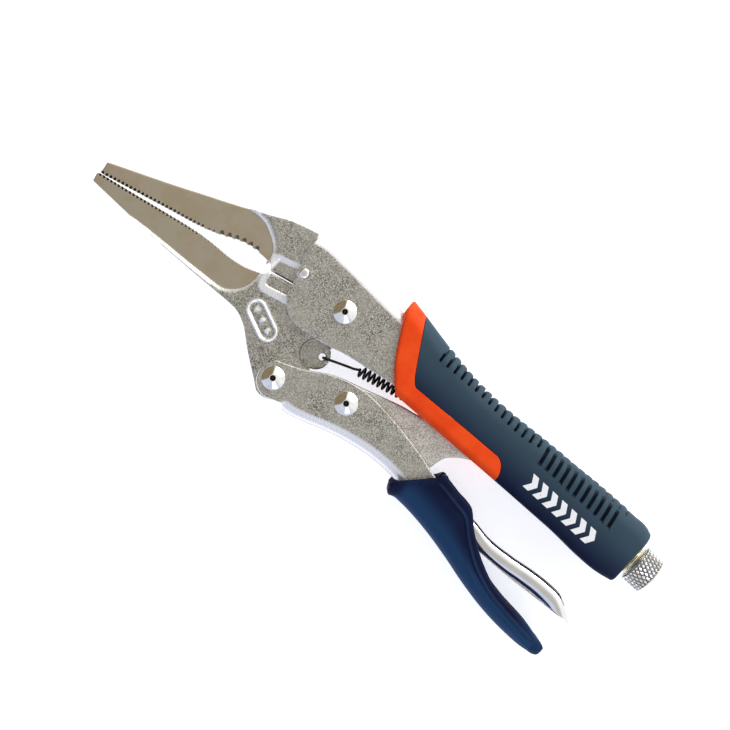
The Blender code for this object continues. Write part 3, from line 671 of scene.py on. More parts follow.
ring_line = np.array([(ring_mark[0] + ring_straight * s * math.cos(math.radians(-22)) + ring_radius * math.cos(a),
                       ring_mark[1] + ring_straight * s * math.sin(math.radians(-22)) + ring_radius * math.sin(a))
                      for s, a in [(1, math.radians(d)) for d in range(-112, 69, 12)]
                      + [(-1, math.radians(d)) for d in range(68, 249, 12)]])
ring_line = np.vstack((ring_line, ring_line[:1]))
lower_jaw_outline = np.vstack((
    [(-92.1, -25.0), (-92.5, -24.8), (-93.0, -22.2)],
    toothed(lower_bite, -92.6, -54.0, 1.45, 0.90, 1.05, -1),
    toothed(lower_bite, -53.4, -31.6, 1.45, 0.55, 0.95, -1),
    arc(throat, 2.5, -85, -2, 8), [(-19.8, -5.3), (-12.0, -3.4)], arc((0, 0), 9.4, 198, -46, 36),
    [(4.6, -11.0)], arc(spring_lug, 4.9, 58, -70, 16), [(4.2, -26.0), (4.2, -27.5)],
    arc((-2.5, -32.6), 7.2, 25, -105, 18),
    curve([(-7.5, -37.2), (-10, -35.5), (-15.0, -32.0), (-20.0, -28.0), (-22, -26.5), (-25.0, -25.0),
           (-27, -24.4),
           (-30.0, -24.1), (-40.0, -24.5), (-50.0, -24.9), (-62.0, -25.3), (-72.0, -25.3), (-80, -25.15),
           (-91.3, -25.0)], 4)))
plate("lower_jaw_forging",
      [lower_jaw_outline, arc((0, 0), 3.2, 0, 345, 23), arc(lower_pivot, 3.2, 0, 345, 23),
       arc(spring_hole, 1.3, 0, 340, 17)],
      0.75, lower_jaw_half, bite_radius, (0.05, 0.14, 0.3, 0.5), jaw_finish, "lower_jaw", "forged_jaw",
      ["lower_jaw"],
      {"ground": lambda p, edge: ease(depth_in(p, lower_ground), -0.1, 0.1), "rubbed_and_highlit": lower_jaw_wear_and_highlight,
       "tooth_root_shade": painted_root_shade},
      [(lower_ground_edge, (-0.3, 0, 0.3, 0.6, 0.9, 1.2)),
       (recess_edge, (-2.4, -2.1, -1.8, -1.2, -0.4, -0.1, 0.2)),
       (ring_line, (-0.9, -0.5, 0, 0.5, 0.9)),
       (arc(spring_lug, 5.2, 60, 310, 40), (-0.5, -0.15, 0.2, 0.6, 0.9, 1.2))],
      web=tooth_web)

# ---------------------------------------------------------------------------------------
# Lower handle shell. The same folded 2 mm sheet the other way up; its side plates run
# forward past the web as two flat round ears, riveted to the lower jaw.

link_pivot = (21.0, -22.2)
release_pivot = (61.0, -26.7)
lower_spine = smooth_line((5.5, -38.5), (8.5, -38.3), (15, -36.4), (20, -34.5), (30, -31.6), (40, -30),
                          (50, -30),
                          (60, -31.8), (70, -33.1), (80, -35.1), (90, -37.4), (100, -39.1), (110, -40),
                          (120, -39.8))
lower_fold, lower_unfold = fold(lower_spine, channel_half, channel_bend, -1)
web_front = 6.2


def lower_wrap(pattern, depth=0.0):
    """The fold, let out to flat ears in front of the web."""
    bent = lower_fold(pattern, depth)
    x, around = pattern[:, 0], pattern[:, 1]
    past = np.abs(around) - (channel_half - channel_bend + channel_bend * math.pi / 2)
    straight = np.column_stack((x, lower_spine(x) + channel_bend + past,
                                np.sign(around) * (channel_half - depth)))
    bending = ease(x, 3.6, 6.6)[:, None]
    return straight + (bent - straight) * bending


def ear_ring(pattern):
    """The coined line round the ear's rivet."""
    side = lower_wrap(pattern)
    off = np.hypot(side[:, 0] + 1.9, side[:, 1] + 32.7)
    return 0.16 * np.exp(-((off - 5.3) / 0.22) ** 2)


lower_side = np.vstack((
    [(4.6, -37.15), (3.4, -37.5)], arc((-1.6, -32.8), 6.3, 300, 152, 30),
    [(-6.0, -27.4), (-3.0, -26.2), (0.0, -24.9)],
    curve([(0, -24.9), (5, -22.2), (10, -19.0), (15, -16.8), (20, -15.4), (25, -14.8), (30, -14.9), (40, -16.0),
           (50, -17.8), (60, -20.2), (75, -22.6), (80, -26), (88, -31.2), (97, -34.6), (110, -36.5),
           (119.5, -37.6)], 4)))
lower_pattern = np.vstack(([(web_front, 0.0), (web_front, 5.0), (5.6, 6.3)], lower_unfold(lower_side),
                           [(119.5, 3.5), (119.5, 0.0)]))
# The worn-and-highlit mark paints a highlight along the bend and lightens the cut edges.
skin("lower_handle_shell",
     [both_sides(lower_pattern), *circle_hole(lower_unfold, lower_pivot, 3.2),
      *circle_hole(lower_unfold, link_pivot, 3.2), *circle_hole(lower_unfold, release_pivot, 2.0)],
     1.0, lambda p: lower_wrap(p, -ear_ring(p)), lambda p: lower_wrap(p, channel_sheet),
     0.45, (0.12, 0.3, 0.55, 0.95), handle_nickel, "lower_handle", "pebbled_nickel", ["lower_channel"],
     {"rubbed_and_highlit": lambda p, edge: shell_wear_and_highlight(p, edge) * ease(p[:, 0], 3.6, 6.6)
      + 0.8 * (1 - ease(edge, 0.10, 0.45)) * (1 - ease(p[:, 0], 3.6, 6.6))})

# ---------------------------------------------------------------------------------------
# Rivets. Headed from bright steel wire and set cold through the shells and jaws: a low
# polished dome on each side with the small dimple that the setting punch leaves.


def turn(profile, centre, axis="Z", steps=64, pull=None):
    """Points and faces of a shape turned from (radius, place along the axis) pairs."""
    profile = np.array(profile, float)
    angles = 2 * math.pi * np.arange(steps) / steps
    radius = np.repeat(profile[:, 0], steps)
    along = np.repeat(profile[:, 1], steps)
    turned = np.tile(angles, len(profile))
    if pull:
        radius = radius + pull(turned, along, radius)
    u, v = radius * np.cos(turned), radius * np.sin(turned)
    if axis == "Z":
        points = np.column_stack((u + centre[0], v + centre[1], along))
    else:
        points = np.column_stack((along, u + centre[1], v + centre[2]))
    faces = []
    for row in range(len(profile) - 1):
        for k in range(steps):
            a, b = row * steps + k, row * steps + (k + 1) % steps
            faces.append((a, b, b + steps, a + steps))
    for row in (0, len(profile) - 1):
        faces.append(tuple(row * steps + np.arange(steps)))
    return points, faces


def dome(head, seat, rise):
    """Half of a rivet: from the dimple over the dome to the shank."""
    line = [(0.02, seat + rise - 1.0), (0.45, seat + rise - 0.95), (0.7, seat + rise - 0.6),
            (0.85, seat + rise - 0.22), (1.0, seat + rise - 0.06)]
    for r in np.linspace(1.15, head - 0.12, 18):
        line.append((r, seat + 0.15 + (rise - 0.15) * (1 - ((r - 0.9) / (head - 0.9)) ** 1.25)))
    line += [(head, seat + 0.12), (head, seat - 0.15), (head - 0.05, seat - 0.3)]
    return line


material, shader, place = new_finish("polished_rivet_steel")
around = place.node("TexNoise", {"noise_dimensions": "3D"}, Vector=place, Scale=0.8, Detail=4.0)
pits = noise(place, 0.22, 3.0, 0.6)
colour = around.step(0.3, 0.7).mix(rgb(0.80, 0.79, 0.77), rgb(0.92, 0.92, 0.91))
# Painted shade: the marked punch dimple is darkened to near black.
colour = mark(place, "soot").mix(colour, rgb(0.035, 0.032, 0.028))
feed(shader, Base_Color=colour, Roughness=0.07 + pits * 0.08, Metallic=1.0,
     Normal=bump(pits * 0.4 + around * 0.6, 0.04, 0.35))
rivet_finish = material

head_seat = channel_half
for name, centre, body, head, shank, rise in (
        ("main_pivot_rivet_set", (0.0, 0.0), "upper_handle", 4.1, 3.0, 1.9),
        ("lower_pivot_rivet_set", lower_pivot, "lower_jaw", 4.1, 3.0, 1.9),
        ("link_rivet_set", link_pivot, "lower_handle", 4.1, 3.0, 1.9),
        ("jaw_locating_rivet_set", jaw_rivet, "upper_handle", 1.8, 1.3, 0.8)):
    if head > 2:
        half = dome(head, head_seat, rise)
    else:
        half = [(0.02, head_seat + rise - 0.12)] + [(head * math.sin(a), head_seat + rise * math.cos(a) * 0.9)
                                                    for a in np.linspace(0.15, 1.5, 10)] + [(head,
                                                                                             head_seat - 0.1)]
    half.append((shank, half[-1][1] - 0.05))
    half += [(shank, h) for h in (5.0, 2.5)]
    profile = half + [(r, -h) for r, h in reversed(half)]
    stands = {"main_pivot_rivet_set": "main_pivot_rivet", "lower_pivot_rivet_set": "jaw_handle_rivet",
              "link_rivet_set": "link_rivet", "jaw_locating_rivet_set": "jaw_locating_rivet"}[name]
    # Painted shade mark for the punch dimple in the middle of each large head.
    dimple = [ease(-radius, -1.0, -0.7) * (head > 2) for radius, along in profile for k in range(64)]
    make_piece(name, *turn(profile, centre), rivet_finish, body, "bright_rivets", [stands], {"soot": dimple},
               50)

# ---------------------------------------------------------------------------------------
# Toggle link. A solid bar sintered from steel powder, so its skin is a sandy grey, with the
# corners broken. Its ear turns on the lower handle's rivet and its round end bears on the
# adjusting screw.

link_seat = (82.0, 4.4)
material, shader, place = new_finish("sintered_steel")
sand = noise(place, 0.40, 4.0, 0.75)
clouds = noise(place, 6.0, 3.0)
tone = (sand * 0.85 + clouds * 0.15).step(0.38, 0.60)
pores = place.node("TexVoronoi", {"feature": "F1"}, Vector=place, Scale=2.6).step(0.16, 0.05)
colour = tone.mix(rgb(0.36, 0.35, 0.31), rgb(0.88, 0.865, 0.80))
colour = (pores * 0.6).mix(colour, rgb(0.14, 0.13, 0.11))
# Painted highlight with wear: the broken corners are lightened.
colour = (mark(place, "rubbed_and_highlit") * 0.6).mix(colour, rgb(0.86, 0.85, 0.82))
feed(shader, Base_Color=colour, Roughness=0.5 + sand * 0.18, Metallic=0.75,
     Normal=bump(sand - pores * 0.6, 0.08, 0.7))
link_finish = material

link_outline = np.vstack((
    arc(link_pivot, 7.0, 100, 285, 30),
    curve([(23.0, -29.0), (34.0, -26.4), (44.0, -24.6), (53.5, -24.2)], 5)[1:],
    curve([(53.5, -24.2), (55.4, -23.4), (56.3, -21.5), (56.3, -19.0), (57.5, -14.0), (60.0, -11.0),
           (64.0, -8.3),
           (74.0, -3.2), (80.5, 0.75)], 5)[1:],
    arc(link_seat, 3.8, -75, 120, 24),
    curve([(80.0, 7.6), (70.0, 2.4), (60.0, -1.9), (50.0, -6.0), (41.0, -9.0), (35.0, -10.4), (22.0, -14.6)],
          5)))
plate("toggle_link_bar", [link_outline, arc(link_pivot, 3.2, 0, 345, 23)], 1.2,
      lambda p: np.full(len(p), 4.6), 0.7, (0.06, 0.18, 0.4, 0.7), link_finish, "toggle_link", "link_steel",
      ["toggle_link"], {"rubbed_and_highlit": lambda p, edge: 1 - ease(edge, 0.1, 0.6)}, parting=0.0)

# ---------------------------------------------------------------------------------------
# Release lever. Thin spring steel, folded to a narrow channel between the lower handle's
# side plates and chrome plated. It rocks on a plain pin and pushes the link over centre.

lever_top = smooth_line((51.5, -26.4), (54, -25.6), (61, -24), (70, -22.3), (79, -21.8), (87, -22.8),
                        (97, -22.1),
                        (105, -20.9), (112, -20.3), (118, -20.7), (122.5, -22.7), (126.2, -25.2))
lever_wrap, lever_unfold = fold(lever_top, 4.3, 2.0, 1)

material, shader, place = new_finish("lever_chrome")
fine = noise(place, 0.35, 3.0)
waves = noise(place, 7.0, 2.0)
wipes = place.node("VectorMath", {"operation": "MULTIPLY"}, in_0=place, in_1=(0.12, 1.6, 1.6))
wipes = wipes.node("TexNoise", Vector=wipes, Scale=1.0, Detail=3.0)
feed(shader, Base_Color=waves.step(0.3, 0.7).mix(rgb(0.78, 0.78, 0.80), rgb(0.90, 0.90, 0.91)),
     Roughness=0.05 + fine * 0.05 + wipes.step(0.5, 0.75) * 0.10, Metallic=1.0,
     Normal=bump(waves + fine * 0.04, 0.12, 0.5))
chrome_finish = material

lever_side = np.vstack((
    [(51.5, -26.9), (52.5, -27.3)], arc(release_pivot, 2.7, 235, 285, 8),
    curve([(63, -29.3), (75.0, -29.2), (87.0, -28.6), (100.0, -28.2), (110.0, -27.4), (118.0, -26.8),
           (126.0, -25.9)], 5)))
lever_half = np.vstack(([(51.5, 0.0), (51.5, 4.0)], lever_unfold(lever_side),
                        [(126.2, 4.6), (125.7, 2.3), (125.4, 0.0)]))


def lever_swell(p, depth=0.0):
    """The rear of the pressing is swelled: its sides bow outwards between back and edge."""
    points = lever_wrap(p, depth)
    x, below = points[:, 0], lever_top(points[:, 0]) - points[:, 1]
    swell = 0.7 * np.sin(math.pi * np.clip((below - 1.0) / 7.0, 0, 1)) - 2.2 * ease(below, 2.5, 8.5) ** 1.5
    points[:, 2] += np.sign(points[:, 2]) * swell * ease(x, 78, 92) * ease(np.abs(points[:, 2]), 2.0, 3.0)
    return points


skin("release_lever_pressing", [both_sides(lever_half), *circle_hole(lever_unfold, release_pivot, 2.0)], 0.7,
     lever_swell, lambda p: lever_swell(p, 1.2), 0.35, (0.1, 0.22, 0.4, 0.6), chrome_finish, "release_lever",
     "lever_chrome", ["release_lever"])

# ---------------------------------------------------------------------------------------
# Plain pins. Hardened steel pins pressed flush through the shells: one holds the spring's
# rear hook, the other is the release lever's pivot.

spring_pin_radius, release_pin_radius = 1.5, 1.8
for name, centre, radius, reach, body, stands in (
        ("spring_pin_pressed", spring_pin, spring_pin_radius, 7.05, "upper_handle", "spring_anchor_pin"),
        ("release_pin_pressed", release_pivot, release_pin_radius, 7.05, "lower_handle", "release_pin")):
    half = [(0.02, reach), (radius * 0.5, reach), (radius - 0.3, reach), (radius - 0.08, reach - 0.1),
            (radius, reach - 0.3), (radius, reach / 2)]
    profile = half + [(r, -h) for r, h in reversed(half)]
    make_piece(name, *turn(profile, centre, steps=32), rivet_finish, body, "pin_steel", [stands], sharp=50)

# ---------------------------------------------------------------------------------------
# Jaw spring. Music wire, blacked and oiled, wound into a close coil that pulls the lower jaw
# open. Its front hook passes through the lug and its rear hook goes round the pin.

wire_radius, coil_radius, coil_pitch = 0.45, 1.68, 1.80
coil_front, coil_rear = np.array((16.6, -11.35, 0.0)), np.array((44.2, -4.4, 0.0))


def wire_along(path, radius, sides=10):
    """A round wire swept along a path, with closed ends."""
    path = np.asarray(path, float)
    along = np.gradient(path, axis=0)
    along /= np.linalg.norm(along, axis=1)[:, None]
    across = np.cross(along[0], (0.3, 0.4, 0.86))
    points = []
    for here, run in zip(path, along):
        across = across - run * np.dot(across, run)
        across /= np.linalg.norm(across)
        up = np.cross(run, across)
        for k in range(sides):
            angle = 2 * math.pi * k / sides
            points.append(here + radius * (across * math.cos(angle) + up * math.sin(angle)))
    faces = []
    for row in range(len(path) - 1):
        for k in range(sides):
            a, b = row * sides + k, row * sides + (k + 1) % sides
            faces.append((a, b, b + sides, a + sides))
    for row in (0, len(path) - 1):
        faces.append(tuple(row * sides + np.arange(sides)))
    return np.array(points), faces


def rounded_path(points, steps=8):
    """A soft curve through points in space."""
    p = np.array(points, float)
    p = np.vstack((2 * p[0] - p[1], p, 2 * p[-1] - p[-2]))
    t = np.linspace(0, 1, steps, endpoint=False)[:, None]
    parts = [0.5 * (2 * b + (c - a) * t + (2 * a - 5 * b + 4 * c - d) * t ** 2 + (3 * b - a - 3 * c + d) * t ** 3)
             for a, b, c, d in zip(p, p[1:], p[2:], p[3:])]
    return np.vstack(parts + [p[-2:-1]])


run = coil_rear - coil_front
length = np.linalg.norm(run)
run /= length
level = np.cross((0, 0, 1), run)
turns = length / coil_pitch
angle = np.linspace(0, turns * 2 * math.pi, round(turns * 22))
opening = np.minimum(1, np.minimum(angle, angle[-1] - angle) / 2.2 + 0.15)
coil = (coil_front + run * (length * angle / angle[-1])[:, None]
        + coil_radius * opening[:, None] * (level * np.cos(angle)[:, None] + np.array((0, 0, 1.0)) * np.sin(angle)[:, None]))
front_hook = rounded_path([(7.2, -15.7, -2.2), (5.7, -16.3, -2.25), (4.95, -16.3, -1.5), (4.85, -16.25, 0.0),
                           (4.95, -16.2, 1.6), (5.6, -15.9, 2.3), (7.0, -15.35, 2.2), (9.0, -14.5, 1.5),
                           (12.0, -13.25, 0.6), (15.0, -12.05, 0.1)])
loop_radius = spring_pin_radius + wire_radius + 0.1
rear_loop = arc(spring_pin, loop_radius, 232, 10, 22)
rear_hook = rounded_path([(45.6, -4.0, 0.1), (46.8, -3.9, 0.0)], 4)
rear_loop = np.column_stack((rear_loop, np.zeros(len(rear_loop))))
spring_path = np.vstack((front_hook, coil, rear_hook, rear_loop))

material, shader, place = new_finish("oiled_black_wire")
soot = noise(place, 0.5, 3.0)
rub = noise(place, 1.4, 2.0).step(0.55, 0.75)
feed(shader, Base_Color=(rub * 0.5).mix(rgb(0.012, 0.012, 0.014), rgb(0.07, 0.07, 0.075)),
     Roughness=0.22 + soot * 0.16,
     Metallic=0.55, Normal=bump(soot, 0.03, 0.5))
spring = make_piece("jaw_spring_wire", *wire_along(spring_path, wire_radius), material, None, "spring_black",
                    ["tension_spring"], sharp=60)


def world(x, y, z=0.0):
    """A place given in millimetres from the main pivot, in metres."""
    return tuple(main_pivot + Vector((x, y, z)) * MM)


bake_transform(spring)

# ---------------------------------------------------------------------------------------
# Adjusting screw, nut and knob. A rolled thread runs in a nut pressed into the end of the
# upper shell; the nut is dipped in clear yellow passivate. The knob is turned from bar with
# a rolled diamond knurl, and is plated with bright nickel.

screw_axis = (0.0, 4.4, 0.0)
screw_tip, screw_rear, thread_pitch, thread_depth = 87.6, 128.4, 1.25, 0.62
rows = np.arange(screw_tip + 1.2, screw_rear, thread_pitch / 10)
profile = [(0.02, screw_tip), (1.6, screw_tip), (2.7, screw_tip + 0.15), (3.5, screw_tip + 0.7)]
profile += [(3.88, x) for x in rows] + [(3.2, screw_rear), (0.02, screw_rear)]


def thread(angle, along, radius):
    turn_place = along / thread_pitch - angle / (2 * math.pi)
    groove = (0.5 + 0.5 * np.cos(2 * math.pi * turn_place)) ** 0.8
    return -thread_depth * groove * ease(along, screw_tip + 0.8, screw_tip + 2.2) * (radius > 3.6)


material, shader, place = new_finish("plated_nickel")
wear = noise(place, 0.6, 3.0)
stain = noise(place, 4.0, 2.0)
colour = stain.step(0.3, 0.7).mix(rgb(0.72, 0.71, 0.67), rgb(0.86, 0.85, 0.83))
# Painted shade: the marked grooves are darkened.
colour = mark(place, "soot").mix(colour, rgb(0.10, 0.095, 0.085))
feed(shader, Base_Color=colour, Roughness=0.16 + wear * 0.14, Metallic=1.0, Normal=bump(wear, 0.03, 0.4))
nickel_finish = material


def groove_shade(points, axis, full, low, high):
    """Painted shade in the grooves of a turned part: deeper below its full radius is darker."""
    depth = full - np.hypot(points[:, 1] - axis[1], points[:, 2] - axis[2])
    return ease(depth, low, high)


make_piece("adjusting_screw_thread", *turn(profile, screw_axis, "X", 48, thread), nickel_finish,
           "adjusting_screw",
           "screw_nickel", ["adjusting_screw"], sharp=60)


def ring(profile, centre, steps=64):
    """A turned ring along X: a closed profile with a bore."""
    points, faces = turn(profile, centre, "X", steps)
    faces = faces[:-2]
    last = (len(profile) - 1) * steps
    faces += [(last + k, last + (k + 1) % steps, (k + 1) % steps, k) for k in range(steps)]
    return points, faces


nut_profile = [(4.15, 108.4), (4.4, 108.0), (4.7, 108.0), (4.9, 108.3), (4.9, 124.9), (5.2, 124.9),
               (5.5, 124.95),
               (5.58, 125.05), (5.58, 126.65), (5.5, 126.75), (4.85, 126.8), (4.75, 126.9), (4.75, 127.1),
               (4.85, 127.2), (5.4, 127.25), (5.5, 127.35), (5.5, 127.7), (5.4, 127.8), (4.8, 127.85),
               (4.75, 127.95), (4.7, 128.08), (4.3, 128.08), (4.15, 127.9)]
material, shader, place = new_finish("yellow_passivate")
bloom = noise(place, 1.8, 3.0)
lathe = place.node("VectorMath", {"operation": "MULTIPLY"}, in_0=place, in_1=(6.0, 0.2, 0.2))
lathe = lathe.node("TexNoise", Vector=lathe, Scale=1.0, Detail=2.0)
feed(shader, Base_Color=bloom.step(0.3, 0.7).mix(rgb(0.72, 0.62, 0.36), rgb(0.80, 0.76, 0.62)),
     Roughness=0.18 + lathe * 0.14, Metallic=1.0, Normal=bump(lathe, 0.03, 0.4))
make_piece("end_nut_turned", *ring(nut_profile, screw_axis), material, "upper_handle", "nut_steel", ["end_nut"],
           sharp=50)

knob_front, knob_rear, knob_radius, knurl_count, knurl_pitch, knurl_depth = 128.7, 137.2, 7.0, 30, 1.38, 0.55
knurl_rows = np.linspace(129.45, 135.8, 52)
knob_profile = [(0.02, knob_front), (4.0, knob_front), (5.7, knob_front), (5.9, knob_front + 0.1),
                (5.95, 128.95), (6.3, 129.0), (6.75, 129.1), (6.95, 129.3)]
knob_profile += [(knob_radius, x) for x in knurl_rows]
knob_profile += [(6.9, 135.95), (6.5, 136.4), (6.0, 136.85), (5.6, 137.1), (5.3, knob_rear), (4.6, knob_rear),
                 (4.4, 137.1),
                 (4.2, 136.98), (1.2, 136.98), (0.9, 136.8), (0.4, 136.5), (0.02, 136.4)]


def knurl(angle, along, radius):
    """Two sets of crossing grooves that leave small pyramids."""
    around = angle / (2 * math.pi) * knurl_count
    lead = (along - knurl_rows[0]) / knurl_pitch
    sides = [np.abs((around + s * lead) % 1.0 - 0.5) * 2 for s in (0.5, -0.5)]
    groove = np.maximum(*sides) ** 1.4
    fade = ease(along, 129.3, 129.6) * ease(-along, -135.9, -135.6)
    return -knurl_depth * groove * fade * (radius > 6.9)


points, faces = turn(knob_profile, screw_axis, "X", knurl_count * 8, knurl)
# Painted shade in the knurl grooves.
knurl_shade = band(points[:, 0], 129.3, 135.9) * groove_shade(points, screw_axis, knob_radius, 0.16, 0.5)
make_piece("screw_knob_knurled", points, faces, nickel_finish, "screw_knob", "screw_nickel", ["screw_knob"],
           {"soot": knurl_shade}, 60)

# ---------------------------------------------------------------------------------------
# Upper grip. Two-shot moulded rubber over the shell: a navy body, ribbed along its back and
# slotted towards its end, and an orange collar that runs on as a strip along the open side.

shell_clear = channel_half + 0.3
slot_half = 5.1
rubber_half = 10.15


def sleeve(web_line, lip_line, half_at, web_radius, lip_radius, side, widths):
    """A moulded sleeve round a folded sheet, as a flat pattern (along, around). The widths
    are those of its web, web corner, side, lip corner and lip in the pattern."""
    ends = np.cumsum(widths)

    def sizes(x):
        tall = np.abs(web_line(x) - lip_line(x))
        return half_at(x), tall, np.minimum(web_radius, 0.6 * tall), np.minimum(lip_radius, 0.3 * tall)

    def part(out, k):
        return np.clip((out - (ends[k] - widths[k])) / widths[k], 0, 1)

    def wrap(pattern, depth=0.0):
        x, around = pattern[:, 0], pattern[:, 1]
        out = np.abs(around)
        half, tall, big, small = sizes(x)
        turn_in, turn_out = part(out, 1) * math.pi / 2, part(out, 3) * math.pi / 2
        z = part(out,
                 0) * (half - big) + (big - depth) * np.sin(turn_in) - (small - depth) * (1 - np.cos(turn_out))
        z = z - part(out, 4) * (half - small - slot_half)
        drop = big - (big - depth) * np.cos(turn_in) + part(out, 2) * (tall - big - small)
        drop = drop + (small - depth) * np.sin(turn_out)
        return np.column_stack((x, web_line(x) - side * drop, np.sign(around) * z))

    def unfold(side_view):
        side_view = np.atleast_2d(np.asarray(side_view, float))
        x, y = side_view.T
        _, tall, big, small = sizes(x)
        drop = np.clip(side * (web_line(x) - y), 0, tall)
        down = drop - (tall - small)
        around = ends[0] + widths[1] * np.arccos(np.clip(1 - drop / big, 0, 1)) / (math.pi / 2)
        around = np.where(drop > big, ends[1] + widths[2] * (drop - big) / (tall - big - small), around)
        around = np.where(down > 0,
                          ends[2] + widths[3] * np.arcsin(np.clip(down / small, 0, 1)) / (math.pi / 2), around)
        return np.column_stack((x, around))
    return wrap, unfold


upper_grip_end, upper_skin_end = 126.3, 124.8
upper_widths = (4.5, 9.4, 16.0, 3.9, 2.9)
upper_reach = sum(upper_widths)
upper_edge = smooth_line((20, -8.5), (29, -7.0), (40, -6.9), (75, -6.3), (100, -5.4), (124.5, -4.8))
upper_back = smooth_line((14, 18.7), (20, 17.7), (30, 15.8), (45, 13.4), (60, 12.8), (80, 14.0), (100, 15.1),
                         (118, 15.6), (122.5, 15.7), (125, 14.9), (126.3, 13.6))
upper_belly = smooth_line((14, -9.2), (31, -9.0), (50, -8.4), (75, -7.6), (100, -7.0), (122, -6.6),
                          (126.3, -5.6))
grip_wrap, grip_unfold = sleeve(upper_back, upper_belly,
                                lambda x: rubber_half - np.maximum(0, x - 118.0) * 0.12,
                                6.0, 2.5, 1, upper_widths)
grip_lining, _ = sleeve(lambda x: upper_spine(x) + 0.3, lambda x: upper_edge(x) - 0.3,
                        lambda x: np.full(np.shape(x), shell_clear), 2.0, 0.3, 1, upper_widths)

rib_first, rib_pitch, rib_count = 34.3, 3.09, 26
rib_foot = smooth_line((34, 9.6), (50, 10.4), (78, 11.0), (83, 13.0), (116, 13.5))
rib_lines = rib_first + rib_pitch * np.arange(rib_count + 1)
slots = [((x, float(rib_foot(x)) - 0.1), (x - 0.35, float(rib_foot(x)) + 2.5), 0.36) for x in rib_lines[:15]]
slots += [((x + 1.1, 6.9), (x + 0.15, 12.4), 0.55) for x in rib_lines[15:26]]


def grip_relief(pattern):
    """Height of the moulded pattern over the plain grip."""
    base = grip_wrap(pattern)
    x, y = base[:, 0], base[:, 1]
    along = (x - rib_first) / rib_pitch
    from_groove = np.abs(along - np.round(along)) * rib_pitch
    ribs = 0.34 * (1 - (1 - np.minimum(from_groove / (rib_pitch / 2),
                                       1)) ** 2.2) - 0.55 * np.exp(-(from_groove / 0.38) ** 2)
    last = rib_first + rib_pitch * rib_count
    place = ease(x, rib_first - 0.8, rib_first) * ease(-x, -last - 0.8, -last) * ease(y, rib_foot(x) - 0.5,
                                                                                      rib_foot(x) + 0.6)
    raised = ribs * place
    side_view = base[:, :2]
    for low_end, high_end, width in slots:
        near = distance(side_view, [low_end, high_end], closed=False)
        raised = raised - 1.0 * (1 - ease(near, width - 0.22, width + 0.16))
    return raised


trim_line = curve([(21.3, 18.5), (21.5, 16.5), (25.0, 10.5), (31.0, 1.0), (33.0, -1.5), (34.5, -2.5),
                   (37.0, -2.45),
                   (55.0, -1.5), (68.0, -0.95), (70.4, -1.0), (72.5, -2.2), (74.3, -5.0), (74.8, -9.0)], 5)
front_line = curve([(14.3, 17.6), (14.9, 14.9), (16.8, 10.4), (20.8, 3.5), (24.0, -1.3), (27.3, -5.2),
                    (30.6, -8.9)], 5)
trim_gap = 0.07


def shifted(line, offset):
    line = np.asarray(line, float)
    along = np.gradient(line, axis=0)
    across = np.column_stack((-along[:, 1], along[:, 0]))
    return line + across / np.linalg.norm(across, axis=1)[:, None] * offset


def to_pattern(line, unfold, centre_x=None, lip_x=None, reach=None):
    """A side-view line as a pattern line, carried on to the middle of the web and the lip."""
    line = unfold(line)
    if centre_x is not None:
        line = np.vstack(([(centre_x, 0.0)], [(centre_x, line[0, 1])], line[1:]))
    if lip_x is not None:
        line = np.vstack((line, [(lip_x, reach)]))
    return line


navy_half = np.vstack((to_pattern(shifted(trim_line, trim_gap), grip_unfold, 21.4, 74.9, upper_reach),
                       [(upper_skin_end, upper_reach), (upper_skin_end, 0.0)]))
orange_half = np.vstack((to_pattern(front_line, grip_unfold, 14.3, 31.0, upper_reach),
                         to_pattern(shifted(trim_line, -trim_gap), grip_unfold, 21.25, 74.75,
                                    upper_reach)[::-1]))


def rubber_edge(p):
    """Free edges are rounded over; the parting between the colours and the rear seam stay tight."""
    side = grip_wrap(p)[:, :2]
    at_parting = distance(side, trim_line, closed=False)
    return 0.10 + 0.8 * ease(at_parting, 0.9, 2.0) * ease(upper_skin_end - p[:, 0], 0.6, 2.0)


def moulded_rubber(name, dark, light, motif=None, painted_light=None):
    """Soft rubber: fine spark-eroded grain, a slight bloom, painted shade in the bottoms of slots
    and grooves, and, where given, a lighter colour painted on as light over the grip."""
    material, shader, place = new_finish(name)
    grain = noise(place, 0.24, 3.0, 0.6)
    bloom = noise(place, 7.0, 3.0)
    scuffs = place.node("TexNoise", Vector=place, Scale=0.5, Detail=5.0, Distortion=1.2).step(0.56, 0.72)
    colour = bloom.step(0.3, 0.7).mix(rgb(*dark), rgb(*light))
    # Painted light: a lighter colour where the mesh is marked as lit.
    if painted_light:
        colour = mark(place, "painted_light").mix(colour, rgb(*painted_light))
    colour = (scuffs * 0.12).mix(colour, rgb(*(c * 1.6 + 0.01 for c in light)))
    # Painted shade: slot and groove bottoms are darkened to near black.
    colour = mark(place, "soot").mix(colour, rgb(0.003, 0.006, 0.014))
    rough = 0.46 + grain * 0.12 + scuffs * 0.06
    height = grain
    if motif:
        painted = motif(place)
        chips = 1.0 - noise(place, 0.5, 3.0).step(0.68, 0.74)
        painted = painted * chips
        colour = painted.mix(colour, rgb(0.83, 0.84, 0.85))
        rough = rough * (1.0 - painted) + 0.5 * painted
        height = height + painted * 2.5
    feed(shader, Base_Color=colour, Roughness=rough, Specular_IOR_Level=0.10, Normal=bump(height, 0.06, 0.6))
    return material


def chevrons(place):
    """A row of painted arrowheads on the flat sides, towards the rear."""
    parts = place.node("SeparateXYZ", Vector=place)
    x, y, z = (Flow(place.tree, parts.socket.node.outputs[k]) for k in range(3))
    off = abs(y - 0.25)
    lead = x + off * 0.6
    cell = (lead - 84.0) % 4.3
    bar = cell.step(0.1, 0.2) * cell.step(2.6, 2.5)
    height = off.step(2.85, 2.7)
    run = lead.step(84.0, 84.1) * lead.step(114.1, 114.0)
    side = abs(z).step(9.0, 9.4)
    return bar * height * run * side


